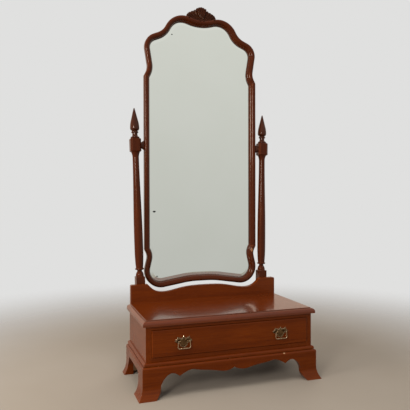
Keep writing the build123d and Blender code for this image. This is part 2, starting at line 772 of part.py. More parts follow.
for name, side in SIDES.items():
    with BuildPart() as drawer_side:
        plank(
            on_side(side, inside_drawer, half_drawer),
            (drawer_front_back_y, drawer_end_y),
            (drawer_low_z, drawer_side_top_z),
        )
        add(drawer_bottom.part, mode=Mode.SUBTRACT)
    save(drawer_side, f"drawer_side_{name}")

with BuildPart() as drawer_back:
    plank(
        (-inside_drawer, inside_drawer),
        (drawer_end_y - DRAWER_SIDE_THICK, drawer_end_y),
        (drawer_bottom_z + DRAWER_BOTTOM_THICK, drawer_side_top_z - DRAWER_BACK_DROP),
    )
save(drawer_back, "drawer_back")

stud_places = {
    name: [side * handle_x - STUD_SPACING / 2, side * handle_x + STUD_SPACING / 2]
    for name, side in SIDES.items()
}

# Drawer front, proud of the case, with rounded edges and holes for the handles' studs
with BuildPart() as drawer_front:
    plank(
        (-half_drawer, half_drawer),
        (drawer_face_y, drawer_front_back_y),
        (opening_low_z + DRAWER_GAP, opening_high_z - DRAWER_GAP),
    )
    fillet(drawer_front.faces().sort_by(Axis.Y)[0].edges(), DRAWER_EDGE_ROUND)
    add(drawer_bottom.part, mode=Mode.SUBTRACT)
    for places in stud_places.values():
        for x in places:
            back = Plane(origin=(x, drawer_front_back_y, stud_z), z_dir=(0, -1, 0))
            rod(back, STUD_BOLT, DRAWER_FRONT_THICK, mode=Mode.SUBTRACT)
save(drawer_front, "drawer_front")

# Handle plates with a scalloped outline
for name, side in SIDES.items():
    with BuildPart() as handle_plate:
        middle = (side * handle_x, drawer_face_y, drawer_mid_z)
        with BuildSketch(Plane(origin=middle, x_dir=(1, 0, 0), z_dir=(0, -1, 0))):
            with BuildLine():
                SagittaArc((0, PLATE_PEAK), PLATE_DIP, PLATE_SCALLOP)
                SagittaArc(PLATE_DIP, PLATE_HORN, PLATE_SCALLOP)
                SagittaArc(PLATE_HORN, PLATE_WING, PLATE_SCALLOP)
                SagittaArc(PLATE_WING, PLATE_NOTCH, -PLATE_SCALLOP)
                SagittaArc(PLATE_NOTCH, PLATE_SHOULDER, PLATE_SCALLOP)
                SagittaArc(PLATE_SHOULDER, (0, PLATE_FOOT), -PLATE_SCALLOP)
                Line((0, PLATE_FOOT), (0, PLATE_PEAK))
            make_face()
            mirror(about=Plane.YZ)
        extrude(amount=PLATE_THICK)
        for x in stud_places[name]:
            back = Plane(origin=(x, drawer_face_y, stud_z), z_dir=(0, -1, 0))
            rod(back, STUD_BOLT, PLATE_THICK, mode=Mode.SUBTRACT)
    save(handle_plate, f"handle_plate_{name}")

# Eye studs: a bolt through the drawer front, a collar on the plate and a round eye for the bail
for name, side in SIDES.items():
    with BuildPart() as handle_studs:
        bolt_end_y = drawer_front_back_y + NUT_THICK
        for x in stud_places[name]:
            bolt = Plane(origin=(x, bolt_end_y, stud_z), z_dir=(0, -1, 0))
            rod(bolt, STUD_BOLT, bolt_end_y - plate_front_y)
            collar = Plane(origin=(x, plate_front_y, stud_z), z_dir=(0, -1, 0))
            rod(collar, STUD_COLLAR, STUD_COLLAR_THICK)
            rod(collar, STUD_NECK, STUD_REACH)
            with Locations((x, stud_y, stud_z)):
                Sphere(STUD_EYE / 2)
        bore = Plane(origin=(side * handle_x - STUD_SPACING, stud_y, stud_z), z_dir=(1, 0, 0))
        rod(bore, BAIL_PIN + 2 * PIN_FIT, STUD_SPACING * 2, mode=Mode.SUBTRACT)
    save(handle_studs, f"handle_studs_{name}")

# Nuts on the studs inside the drawer
with BuildPart() as handle_nuts:
    for places in stud_places.values():
        for x in places:
            with BuildSketch(Plane(origin=(x, drawer_front_back_y, stud_z), z_dir=(0, 1, 0))):
                RegularPolygon(NUT_FLATS / 2, 6, major_radius=False)
                Circle(STUD_BOLT / 2, mode=Mode.SUBTRACT)
            extrude(amount=NUT_THICK)
save(handle_nuts, "handle_nuts")

# Bails: a bent rod with a pin at each end, turned in to the studs' eyes
for name, side in SIDES.items():
    with BuildPart() as bail:
        bail_view = Plane(origin=(side * handle_x, stud_y, stud_z), x_dir=(1, 0, 0), z_dir=(0, -1, 0))
        with BuildLine(bail_view) as bail_line:
            FilletPolyline(
                (-BAIL_TOP_WIDTH / 2, 0),
                (-BAIL_LOW_WIDTH / 2, -BAIL_DROP),
                (BAIL_LOW_WIDTH / 2, -BAIL_DROP),
                (BAIL_TOP_WIDTH / 2, 0),
                radius=BAIL_CORNER,
            )
        with BuildSketch(Plane(origin=bail_line.line @ 0, z_dir=bail_line.line % 0)):
            Circle(BAIL_WIRE / 2)
        sweep()
        for end in (-1, 1):
            knuckle = (side * handle_x + end * BAIL_TOP_WIDTH / 2, stud_y, stud_z)
            with Locations(knuckle):
                Sphere(BAIL_KNUCKLE / 2)
            rod(Plane(origin=knuckle, z_dir=(-end, 0, 0)), BAIL_PIN, BAIL_PIN_REACH)
    save(bail, f"bail_{name}")

# Backboard with a shaped top, screwed to the back of the case
with BuildPart() as backboard:
    with BuildSketch(frame_view(backboard_back_y)):
        half_board = half_case - BACKBOARD_INSET
        crown = (0, shoulder_z - BACKBOARD_CROWN_DROP)
        shoulder_end = (FRAME_HALF - BACKBOARD_SHOULDER, shoulder_z)
        low_z = shoulder_z - BACKBOARD_HEIGHT
        with BuildLine():
            Spline(
                crown,
                (BACKBOARD_FLANK[0], shoulder_z - BACKBOARD_FLANK[1]),
                (FRAME_HALF - BACKBOARD_VALLEY[0], shoulder_z - BACKBOARD_VALLEY[1]),
                (FRAME_HALF - BACKBOARD_SLOPE[0], shoulder_z - BACKBOARD_SLOPE[1]),
                shoulder_end,
                tangents=((1, 0), (1, BACKBOARD_END_SLOPE)),
            )
            Polyline(shoulder_end, (half_board, shoulder_z), (half_board, low_z), (0, low_z), crown)
        make_face()
        mirror(about=Plane.YZ)
    extrude(amount=BACKBOARD_THICK)
    top_corners = backboard.edges().filter_by(Axis.Y).sort_by(Axis.X)
    fillet(top_corners[:2].sort_by(Axis.Z)[-1:] + top_corners[-2:].sort_by(Axis.Z)[-1:], BACKBOARD_CORNER)
    add(backboard_screws.part, mode=Mode.SUBTRACT)
    add(post_screws.part, mode=Mode.SUBTRACT)
save(backboard, "backboard")

# Posts: a square foot planed flat against the backboard, a turned shaft and an eight-sided pivot block
for name, side in SIDES.items():
    with BuildPart() as post:
        with BuildSketch(post_plane(side, -POST_DROP)):
            Rectangle(POST_SQUARE, POST_SQUARE)
        extrude(amount=POST_DROP + POST_FOOT_TOP)
        chamfer(post.faces().sort_by(Axis.Z)[-1].edges(), POST_FOOT_CHAMFER)
        split(bisect_by=Plane(origin=(0, backboard_back_y, 0), z_dir=(0, 1, 0)), keep=Keep.TOP)
        with BuildSketch(post_plane(side, pivot_block_low)) as block_section:
            Rectangle(PIVOT_SQUARE, PIVOT_SQUARE)
            chamfer(block_section.vertices(), PIVOT_CORNER)
        extrude(amount=PIVOT_BLOCK)
        block_faces = post.solids().sort_by(Axis.Z)[-1].faces().sort_by(Axis.Z)
        chamfer(block_faces[0].edges() + block_faces[-1].edges(), PIVOT_CHAMFER)
        with BuildSketch(turning_plane(side, 0)):
            neck = POST_NECK / 2
            flare = (POST_FLARE / 2, POST_FOOT_TOP + POST_FLARE_THICK)
            ring_low = POST_RING_HEIGHT - POST_RING_THICK / 2
            ring_top = POST_RING_HEIGHT + POST_RING_THICK / 2
            ring_root = (POST_RING - POST_RING_THICK) / 2
            waist = (POST_WAIST / 2, ring_top)
            swell_low = (POST_SWELL / 2, POST_SWELL_LOW)
            swell_high = (POST_SWELL / 2, POST_SWELL_HIGH)
            slim = (POST_SLIM / 2, pivot_block_low - POST_COLLAR_HEIGHT)
            collar = (POST_COLLAR / 2, pivot_block_low)
            with BuildLine():
                Polyline((0, POST_FOOT_TOP), (flare[0], POST_FOOT_TOP), flare)
                TangentArc(flare, (neck, POST_NECK_HEIGHT), tangent=(0, 1))
                Polyline((neck, POST_NECK_HEIGHT), (neck, ring_low), (ring_root, ring_low))
                ThreePointArc((ring_root, ring_low), (POST_RING / 2, POST_RING_HEIGHT), (ring_root, ring_top))
                Line((ring_root, ring_top), waist)
                TangentArc(swell_low, waist, tangent=(0, -1))
                Line(swell_low, swell_high)
                Spline(swell_high, slim, tangents=((0, 1), (0, 1)))
                TangentArc(slim, collar, tangent=(0, 1))
                Polyline(collar, (0, pivot_block_low), (0, POST_FOOT_TOP))
            make_face()
        revolve(axis=post_line(side))
        rod(pivot_plane(side, spot_x, OUT), PIVOT_PIN, PIN_IN_POST, mode=Mode.SUBTRACT)
        rod(pivot_plane(side, spot_x, IN), SPOT_FACE, PIVOT_SQUARE / 2, mode=Mode.SUBTRACT)
        tenon_hole = post_plane(side, pivot_block_top - FINIAL_TENON_LENGTH)
        rod(tenon_hole, FINIAL_TENON, FINIAL_TENON_LENGTH, mode=Mode.SUBTRACT)
        add(post_screws.part, mode=Mode.SUBTRACT)
        for head in post_screw_heads:
            rod(Plane(origin=head, z_dir=(0, 1, 0)), SCREW_HEAD, POST_SQUARE / 2, mode=Mode.SUBTRACT)
    save(post, f"post_{name}")

# Finials: turned spires with a tenon in the top of each post
for name, side in SIDES.items():
    with BuildPart() as finial:
        with BuildSketch(turning_plane(side, pivot_block_top)):
            tenon = FINIAL_TENON / 2
            neck = FINIAL_NECK / 2
            shoulder_low = ((FINIAL_SHOULDER - FINIAL_SHOULDER_THICK) / 2, 0)
            shoulder_top = (shoulder_low[0], FINIAL_SHOULDER_THICK)
            bead_root = (FINIAL_BEAD - FINIAL_BEAD_THICK) / 2
            bead_low = (bead_root, FINIAL_BEAD_HEIGHT - FINIAL_BEAD_THICK / 2)
            bead_top = (bead_root, FINIAL_BEAD_HEIGHT + FINIAL_BEAD_THICK / 2)
            groove = (FINIAL_GROOVE / 2, FINIAL_GROOVE_HEIGHT)
            bulb = (FINIAL_BULB / 2, FINIAL_BULB_HEIGHT)
            taper = (FINIAL_TAPER / 2, FINIAL_TAPER_HEIGHT)
            with BuildLine():
                Polyline((0, -FINIAL_TENON_LENGTH), (tenon, -FINIAL_TENON_LENGTH), (tenon, 0), shoulder_low)
                ThreePointArc(shoulder_low, (FINIAL_SHOULDER / 2, FINIAL_SHOULDER_THICK / 2), shoulder_top)
                TangentArc((neck, FINIAL_NECK_HEIGHT), shoulder_top, tangent=(0, -1))
                Polyline((neck, FINIAL_NECK_HEIGHT), (neck, bead_low[1]), bead_low)
                ThreePointArc(bead_low, (FINIAL_BEAD / 2, FINIAL_BEAD_HEIGHT), bead_top)
                Line(bead_top, groove)
                TangentArc(bulb, groove, tangent=(0, -1))
                TangentArc(bulb, taper, tangent=(0, 1))
                Polyline(
                    taper,
                    (FINIAL_TIP / 2, FINIAL_HEIGHT - FINIAL_TIP / 2),
                    (0, FINIAL_HEIGHT),
                    (0, -FINIAL_TENON_LENGTH),
                )
            make_face()
        revolve(axis=post_line(side))
    save(finial, f"finial_{name}")

# Pivots: pins fixed in the posts, leather washers, and bosses and bushes on the mirror
pin_end_x = FRAME_HALF - BUSH_LENGTH + BUSH_END_GAP
for name, side in SIDES.items():
    with BuildPart() as pivot_pin:
        rod(pivot_plane(side, pin_end_x, OUT), PIVOT_PIN, spot_x + PIN_IN_POST - pin_end_x)
        chamfer(pivot_pin.edges().filter_by(GeomType.CIRCLE).sort_by(Axis.X)[:: -side][:1], PIN_CHAMFER)
    save(pivot_pin, f"pivot_pin_{name}")

for name, side in SIDES.items():
    with BuildPart() as pivot_washer:
        rod(pivot_plane(side, spot_x, IN), WASHER, WASHER_THICK)
        rod(pivot_plane(side, spot_x, IN), PIVOT_PIN + 2 * BORE_GAP, WASHER_THICK, mode=Mode.SUBTRACT)
    save(pivot_washer, f"pivot_washer_{name}")

for name, side in SIDES.items():
    with BuildPart() as pivot_boss:
        with BuildSketch(pivot_plane(side, FRAME_HALF, OUT)):
            Ellipse((FRAME_DEPTH - FRAME_SIDE_DEPTH) / 2 - BOSS_EDGE, BOSS_HEIGHT / 2)
        with BuildSketch(pivot_plane(side, boss_end_x, OUT)):
            Circle(BOSS_ROUND / 2)
        loft()
        rod(pivot_plane(side, FRAME_HALF, OUT), PIVOT_PIN + 2 * BORE_GAP, BOSS_LENGTH, mode=Mode.SUBTRACT)
    save(pivot_boss, f"pivot_boss_{name}")

for name, side in SIDES.items():
    with BuildPart() as pivot_bush:
        rod(pivot_plane(side, FRAME_HALF, IN), BUSH, BUSH_LENGTH)
        rod(pivot_plane(side, FRAME_HALF, IN), PIVOT_PIN + 2 * PIN_FIT, BUSH_LENGTH, mode=Mode.SUBTRACT)
    save(pivot_bush, f"pivot_bush_{name}")

# Loose dowels across the four mitres of the frame
shoulder_joint = (top_half[-1], top_half[-2])
hip_joint = (low_half[0], low_half[1])
with BuildPart() as frame_dowels:
    for side in SIDES.values():
        for corner, neighbour in (shoulder_joint, hip_joint):
            middle = joint_middle(side, corner, neighbour)
            rod(middle.offset(-DOWEL_LENGTH / 2), DOWEL, DOWEL_LENGTH)
save(frame_dowels, "frame_dowels")

# Straight stiles of the frame, mitred to the shaped top and bottom
for name, side in SIDES.items():
    with BuildPart() as frame_stile:
        middle = Vector(side * FRAME_HALF, frame_front_y, (low_half[0][1] + top_half[-1][1]) / 2)
        with BuildSketch(section_plane(middle, Vector(0, 0, -side))):
            frame_section()
        extrude(amount=(top_half[-1][1] - low_half[0][1]) / 2 + FRAME_WIDTH, both=True)
        split(bisect_by=joint_plane(side, *shoulder_joint), keep=Keep.TOP)
        split(bisect_by=joint_plane(side, *hip_joint), keep=Keep.TOP)
        add(frame_dowels.part, mode=Mode.SUBTRACT)
        add(backing_screws.part, mode=Mode.SUBTRACT)
        rod(pivot_plane(side, FRAME_HALF, IN), BUSH, BUSH_LENGTH, mode=Mode.SUBTRACT)
    save(frame_stile, f"frame_{name}")

# Shaped top and bottom of the frame: the section carried along its straight and rounded stretches
for name, route, radii, joint in (
    ("top", top_route, top_radii, shoulder_joint),
    ("bottom", low_route, low_radii, hip_joint),
):
    with BuildPart() as frame_rail:
        with BuildLine(frame_view(frame_front_y), mode=Mode.PRIVATE) as rail_line:
            FilletPolyline(run_past(route), radius=radii)
        for edge in rail_line.edges():
            section = section_plane(edge @ 0, edge % 0)
            with BuildSketch(section):
                frame_section()
            if edge.geom_type == GeomType.LINE:
                extrude(amount=edge.length)
            else:
                turn = math.copysign(1, section.to_local_coords(edge.arc_center).X)
                arc = math.degrees(edge.length / edge.radius)
                revolve(axis=Axis(edge.arc_center, (0, turn, 0)), revolution_arc=arc)
        for side in SIDES.values():
            split(bisect_by=joint_plane(side, *joint), keep=Keep.BOTTOM)
        add(frame_dowels.part, mode=Mode.SUBTRACT)
        add(backing_screws.part, mode=Mode.SUBTRACT)
    save(frame_rail, f"frame_{name}")

# Mirror glass in the rebate, bevelled at the front, and the backing board over it
with BuildPart() as mirror_glass:
    with BuildSketch(frame_view(frame_back_y)):
        frame_outline(rebate_inset + GLASS_EDGE_GAP)
    extrude(amount=GLASS_THICK)
    front_face = mirror_glass.faces().sort_by(Axis.Y)[0]
    chamfer(front_face.edges(), GLASS_BEVEL_WIDTH, GLASS_BEVEL_DEPTH, reference=front_face)
save(mirror_glass, "mirror_glass")

with BuildPart() as backing_board:
    with BuildSketch(frame_view(backing_back_y)):
        frame_outline(BACKING_INSET)
    extrude(amount=BACKING_THICK)
    add(backing_screws.part, mode=Mode.SUBTRACT)
save(backing_board, "backing_board")

# Crest: a carved shell seated on the frame's top edge
with BuildPart() as crest_shell:
    crest_back_y = frame_front_y + CREST_SETBACK + CREST_THICK
    frame_top_z = shoulder_z + TOP_RISE
    lobes = [(x, frame_top_z + rise) for x, rise in CREST_LOBES]
    with BuildSketch(frame_view(crest_back_y)):
        with BuildLine():
            Line((0, frame_top_z), (lobes[0][0], frame_top_z))
            Line((lobes[0][0], frame_top_z), lobes[0])
            for start, end in zip(lobes, lobes[1:]):
                SagittaArc(start, end, -CREST_BULGE)
            TangentArc((0, frame_top_z + CREST_HEIGHT), lobes[-1], tangent=(1, 0))
            Line((0, frame_top_z + CREST_HEIGHT), (0, frame_top_z))
        make_face()
        mirror(about=Plane.YZ)
    extrude(amount=CREST_THICK)
    with BuildSketch(frame_view(crest_back_y)):
        frame_outline(0)
    extrude(amount=CREST_THICK, mode=Mode.SUBTRACT)
    for index in range(CREST_GROOVES):
        angle = math.radians(CREST_FAN * (2 * index / (CREST_GROOVES - 1) - 1))
        ray = (math.sin(angle), 0, math.cos(angle))
        fan = Vector(0, frame_front_y + CREST_SETBACK, frame_top_z - CREST_FAN_DROP)
        groove_plane = Plane(origin=fan + Vector(*ray) * CREST_FAN_START, z_dir=ray)
        rod(groove_plane, CREST_GROOVE, CREST_HEIGHT * 2, mode=Mode.SUBTRACT)
save(crest_shell, "crest_shell")
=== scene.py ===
import json
import math

import bmesh
import bpy
from mathutils import Matrix, Vector
from mathutils.bvhtree import BVHTree
from mathutils.geometry import delaunay_2d_cdt


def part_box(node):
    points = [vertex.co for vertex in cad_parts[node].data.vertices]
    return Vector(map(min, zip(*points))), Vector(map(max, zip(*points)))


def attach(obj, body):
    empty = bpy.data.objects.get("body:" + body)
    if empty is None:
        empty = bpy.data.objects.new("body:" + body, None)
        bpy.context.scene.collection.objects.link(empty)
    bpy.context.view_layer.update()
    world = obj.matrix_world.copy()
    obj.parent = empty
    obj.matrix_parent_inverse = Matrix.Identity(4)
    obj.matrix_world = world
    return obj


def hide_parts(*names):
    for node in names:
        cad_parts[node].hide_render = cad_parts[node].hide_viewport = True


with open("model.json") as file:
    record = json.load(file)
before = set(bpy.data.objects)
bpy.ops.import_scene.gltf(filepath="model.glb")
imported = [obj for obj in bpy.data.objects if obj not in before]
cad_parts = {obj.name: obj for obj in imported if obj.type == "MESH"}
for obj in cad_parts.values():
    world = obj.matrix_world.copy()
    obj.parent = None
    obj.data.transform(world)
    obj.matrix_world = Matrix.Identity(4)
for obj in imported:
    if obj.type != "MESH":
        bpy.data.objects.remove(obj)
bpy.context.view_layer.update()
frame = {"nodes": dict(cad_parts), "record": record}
nodes = frame["nodes"]
record = frame["record"]
body_of = {n: body for body, names in record["behaviour"]["bodies"].items() for n in names}
slot_of = {row["node"]: row["material_slot"] for row in record["subparts"]}

MM = 0.001
SIDES = ("left", "right")
TO_BACK = Vector((0, 1, 0))
DOWN = Vector((0, 0, -1))
WELD = 1e-6


# Materials

# How far a piece's own colour moves its pattern, in metres, and the step from piece to piece
PATTERN_SHIFT = (9.0, 7.0, 8.0)
PATTERN_STEPS = (0.377, 0.613, 0.811)
# Sockets of a Mix node that is set to colours
MIX_A, MIX_B, MIX_OUT = 6, 7, 2


class Nodes:
    """A node tree, with short calls that add to it."""

    def __init__(self, tree):
        self.tree = tree

    def add(self, kind, inputs=None, **settings):
        node = self.tree.nodes.new(kind)
        for key, value in settings.items():
            setattr(node, key, value)
        for key, value in (inputs or {}).items():
            self.put(node.inputs[key], value)
        return node

    def put(self, socket, value):
        if isinstance(value, bpy.types.NodeSocket):
            self.tree.links.new(value, socket)
        else:
            socket.default_value = value

    def here(self):
        """Coordinates on the piece, in metres."""
        return self.add("ShaderNodeTexCoord").outputs["Object"]

    def place(self, stretch=(1, 1, 1)):
        """Coordinates moved by the piece's own colour, so that no two boards match."""
        own = self.add("ShaderNodeObjectInfo").outputs["Color"]
        moved = self.vector("MULTIPLY_ADD", own, PATTERN_SHIFT, self.here())[0]
        return self.add("ShaderNodeMapping", {"Vector": moved, "Scale": stretch}).outputs[0]

    def noise(self, where, scale, detail=3.0, roughness=0.55, distortion=0.0):
        inputs = {"Vector": where, "Scale": scale, "Detail": detail}
        inputs |= {"Roughness": roughness, "Distortion": distortion}
        return self.add("ShaderNodeTexNoise", inputs).outputs["Fac"]

    def ramp(self, value, stops):
        node = self.add("ShaderNodeValToRGB", {"Fac": value})
        points = node.color_ramp.elements
        while len(points) < len(stops):
            points.new(0.5)
        for point, (at, colour) in zip(points, stops):
            point.position = at
            point.color = (colour, colour, colour, 1) if isinstance(colour, float) else (*colour, 1)
        return node.outputs["Color"]

    def span(self, value, low, high, **settings):
        """How far a value has come from low to high: 0 to 1."""
        inputs = {"Value": value, "From Min": low, "From Max": high}
        return self.add("ShaderNodeMapRange", inputs, **settings).outputs[0]

    def math(self, operation, *values, clamp=False):
        inputs = dict(enumerate(values))
        return self.add("ShaderNodeMath", inputs, operation=operation, use_clamp=clamp).outputs[0]

    def vector(self, operation, *values):
        inputs = dict(enumerate(values))
        return self.add("ShaderNodeVectorMath", inputs, operation=operation).outputs

    def mix(self, share, a, b, blend="MIX"):
        node = self.add("ShaderNodeMix", data_type="RGBA", blend_type=blend)
        self.put(node.inputs["Factor"], share)
        for socket, colour in ((MIX_A, a), (MIX_B, b)):
            self.put(node.inputs[socket], (*colour, 1) if isinstance(colour, tuple) else colour)
        return node.outputs[MIX_OUT]

    def spot(self, centre, radii):
        """A ragged patch round a point: 1 inside, 0 outside."""
        ragged, fine = 0.7, 420.0
        where = self.here()
        away = self.vector("SUBTRACT", where, centre)[0]
        far = self.vector("LENGTH", self.vector("DIVIDE", away, radii)[0])["Value"]
        torn = self.math("MULTIPLY_ADD", self.noise(where, fine), ragged * 2, far)
        whole = (1.0 + ragged) * 1.25
        return self.ramp(self.math("DIVIDE", torn, whole), [(0.66, 1.0), (0.84, 0.0)])

    def pins(self, start_y, depth, low_z, pitch):
        """The pins of a dovetailed corner on a board's face: 1 on a pin, 0 on the rest."""
        half_tail, taper = 0.40, -0.10
        axes = self.add("ShaderNodeSeparateXYZ", {0: self.here()}).outputs
        inward = self.math("DIVIDE", self.math("SUBTRACT", axes["Y"], start_y), depth)
        upward = self.math("DIVIDE", self.math("SUBTRACT", axes["Z"], low_z), pitch)
        off = self.math("ABSOLUTE", self.math("SUBTRACT", self.math("FRACT", upward), 0.5))
        pin = self.math("GREATER_THAN", off, self.math("MULTIPLY_ADD", inward, taper, half_tail))
        return self.math("MULTIPLY", pin, self.math("LESS_THAN", inward, 1.0))

    def hollows(self, reach):
        """How deep a place lies in a hollow of its own piece: 0 in the open, 1 in a groove."""
        inputs = {"Distance": reach}
        shade = self.add("ShaderNodeAmbientOcclusion", inputs, samples=8, only_local=True)
        return self.ramp(shade.outputs["AO"], [(0.45, 1.0), (0.86, 0.0)])

    def edges(self, radius):
        """How sharply the surface turns within a radius: 0 on a flat, rising at an arris."""
        soft = self.add("ShaderNodeBevel", {"Radius": radius}, samples=4).outputs[0]
        flat = self.add("ShaderNodeNewGeometry").outputs["Normal"]
        along = self.vector("DOT_PRODUCT", soft, flat)["Value"]
        return self.math("SUBTRACT", 1.0, along, clamp=True)


class Finish(Nodes):
    """One material and its shader."""

    def __init__(self, name):
        self.material = bpy.data.materials.new(name)
        self.material.use_nodes = True
        super().__init__(self.material.node_tree)
        self.shader = self.tree.nodes["Principled BSDF"]

    def set(self, **values):
        for key, value in values.items():
            self.put(self.shader.inputs[key.replace("_", " ")], value)

    def relief(self, height, strength, distance):
        inputs = {"Height": height, "Strength": strength, "Distance": distance}
        self.set(Normal=self.add("ShaderNodeBump", inputs).outputs[0])


# Patterns of wood: repeats in a metre, and how far the grain draws them out
FIGURE, STREAK, PORES = 26.0, 240.0, 1500.0
CLOUD, RUBBED_AND_HIGHLIGHT, SMUDGE = 5.0, 40.0, 14.0
GRAIN_DRAW, PORE_DRAW = 0.045, 0.03
# How far wear and painted highlight reach from an arris, and painted shade from the bottom of a
# hollow
WOOD_WEAR_AND_HIGHLIGHT, WOOD_PAINTED_SHADE = 0.003, 0.008
POLISH_TINT = (1.0, 0.5, 0.22, 1)


def drawn(grain, by):
    return tuple(by if axis == grain else 1 for axis in "xyz")


def wood(name, grain, look, marks=(), corner=None):
    """Straight-grained wood: broad figure, fine streaks, pores, uneven finish, rubbed edges
    lightened partly as painted highlight, and painted shade in its own hollows.
    """
    dark, mid, light = look["tones"]
    f = Finish(name)
    along = f.place(drawn(grain, GRAIN_DRAW))
    figure = f.noise(along, FIGURE, 4.0, 0.6, 0.6)
    streak = f.noise(along, STREAK, 3.0, 0.6)
    pores = f.noise(f.place(drawn(grain, PORE_DRAW)), PORES, 2.0, 0.5)
    cloud = f.noise(f.place(), CLOUD, 2.0)
    pattern = f.math("MULTIPLY_ADD", streak, 0.45, f.math("MULTIPLY", figure, 0.55))
    colour = f.ramp(pattern, [(0.34, dark), (0.50, mid), (0.68, light)])
    colour = f.mix(f.ramp(cloud, [(0.35, 0.0), (0.70, 0.45)]), colour, dark)
    pore = f.ramp(pores, [(0.60, 0.0), (0.70, 1.0)])
    colour = f.mix(f.math("MULTIPLY", pore, 0.40), colour, look["pore"])
    # Rubbed arrises, lighter: partly wear and partly painted highlight
    rub_and_highlight = f.math("MULTIPLY", f.edges(WOOD_WEAR_AND_HIGHLIGHT), f.noise(f.place(), RUBBED_AND_HIGHLIGHT, 4.0, 0.7))
    colour = f.mix(f.ramp(rub_and_highlight, [(0.05, 0.0), (0.22, 0.70)]), colour, look["worn_and_highlight"])
    # Painted shade: darker in the piece's own hollows and grooves, in the colour of the pores
    colour = f.mix(f.math("MULTIPLY", f.hollows(WOOD_PAINTED_SHADE), 0.8), colour, look["pore"])
    for centre, radii, mark in marks:
        colour = f.mix(f.spot(centre, radii), colour, mark)
    if corner:
        colour = f.mix(f.pins(*corner), colour, MAHOGANY[1])
    smudge = f.noise(f.place(), SMUDGE, 3.0, 0.6)
    f.set(Base_Color=colour, Specular_IOR_Level=look["specular"])
    f.set(Roughness=f.math("MULTIPLY_ADD", smudge, 0.16, look["rough"]))
    height = f.math("MULTIPLY_ADD", pore, -0.6, f.math("MULTIPLY", streak, 0.35))
    f.relief(height, look["relief"], 0.0004)
    if look["coat"]:
        f.set(Coat_Weight=look["coat"], Coat_Roughness=look["haze"], Specular_Tint=POLISH_TINT)
    return f.material


def polished(tones, coat=0.2, haze=0.05):
    """Dark wood under an old rubbed polish."""
    return {
        "tones": tones,
        "pore": (0.020, 0.0035, 0.0012),
        "worn_and_highlight": (0.22, 0.062, 0.017),
        "rough": 0.17,
        "relief": 0.14,
        "specular": 0.14,
        "coat": coat,
        "haze": haze,
    }


def bare(tones, pore, worn_and_highlight):
    """Planed wood without a finish."""
    return {
        "tones": tones,
        "pore": pore,
        "worn_and_highlight": worn_and_highlight,
        "rough": 0.48,
        "relief": 0.3,
        "specular": 0.25,
        "coat": 0,
    }


MAHOGANY = ((0.080, 0.0118, 0.0006), (0.116, 0.0186, 0.0009), (0.154, 0.0280, 0.0016))
LOOKS = {
    "mahogany": polished(MAHOGANY),
    "waxed_mahogany": polished(MAHOGANY, coat=0.72, haze=0.09),
    # Posts and frame: a darker copy of the mahogany, painted shade
    "shaded_turned_mahogany": polished(
        ((0.036, 0.0050, 0.0006), (0.056, 0.0087, 0.0009), (0.081, 0.0137, 0.0015)), haze=0.12
    ),
    # Crest: much darker, painted shade of its deep carving on top of the wood's tone
    "shaded_carved_mahogany": polished(
        ((0.013, 0.0022, 0.0005), (0.024, 0.0042, 0.0008), (0.042, 0.0078, 0.0012)), coat=0.12
    ),
    # Finials and pivot bosses: darker still, painted shade
    "shaded_dark_mahogany": polished(
        ((0.022, 0.0034, 0.0006), (0.038, 0.0062, 0.0009), (0.060, 0.0108, 0.0015)), coat=0.4
    ),
    "pale_wood": bare(
        ((0.26, 0.145, 0.066), (0.40, 0.245, 0.125), (0.50, 0.33, 0.18)),
        pore=(0.16, 0.085, 0.04),
        worn_and_highlight=(0.52, 0.37, 0.22),
    ),
    # Darker secondary wood for hidden and underneath pieces: partly its age, partly painted shade
    # where they lie in shadow
    "aged_and_shaded_wood": bare(
        ((0.060, 0.030, 0.014), (0.105, 0.056, 0.026), (0.150, 0.085, 0.042)),
        pore=(0.03, 0.016, 0.008),
        worn_and_highlight=(0.20, 0.13, 0.07),
    ),
}
# Posts and frame, which get the darker copy of the mahogany as painted shade
TURNED = ("post_left", "post_right", "frame")
# Pieces in the darker secondary wood: partly aged, partly painted shade
AGED_AND_SHADED = (
    "rear_bracket", "foot_glue_blocks", "base_strip_rear", "dust_panel", "drawer_runner", "kicker",
)
# Boards whose grain runs front to back or upright; in all others it runs across
GRAIN = {
    "y": (
        "case_side", "drawer_runner", "kicker", "base_moulding_left", "base_moulding_right",
        "plinth_left", "plinth_right", "drawer_side",
    ),
    "z": ("post", "finial", "frame_left", "frame_right", "foot_glue_blocks", "backing_board"),
}
# Old damage: a chip at the plinth's upper edge, and polish rubbed off the frame's right hip.
# Each mark has its centre, its radii and its colour.
MARKS = {
    "plinth_front": [((0.212, -0.1990, 0.1140), (0.0046, 0.0040, 0.0024), (0.46, 0.27, 0.14))],
    "frame_bottom": [((0.2427, 0.1756, 0.4850), (0.0045, 0.0060, 0.0080), (0.30, 0.13, 0.055))],
}
# Dovetails at the front of the drawer's sides
DOVETAIL_DEPTH, DOVETAIL_PITCH = 12 * MM, 23 * MM
CORNERS = {}
for name in ("drawer_side_left", "drawer_side_right"):
    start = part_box(name)[0]
    CORNERS[name] = (start.y, DOVETAIL_DEPTH, start.z, DOVETAIL_PITCH)
woods = {}


def grain_of(node):
    for axis, stems in GRAIN.items():
        if node.startswith(stems):
            return axis
    return "x"


def wood_of(node):
    """The wood of a node, with its grain along the board; a node with marks has its own."""
    if node == "top_board":
        look = "waxed_mahogany"
    elif node == "crest_shell":
        look = "shaded_carved_mahogany"
    elif node.startswith(("finial", "pivot_boss")):
        look = "shaded_dark_mahogany"
    elif slot_of[node] == "mahogany":
        look = "shaded_turned_mahogany" if node.startswith(TURNED) else "mahogany"
    else:
        look = "aged_and_shaded_wood" if node.startswith(AGED_AND_SHADED) else "pale_wood"
    grain = grain_of(node)
    name = f"{look}_{node if node in MARKS or node in CORNERS else grain}"
    if name not in woods:
        woods[name] = wood(name, grain, LOOKS[look], MARKS.get(node, ()), CORNERS.get(node))
    return woods[name]


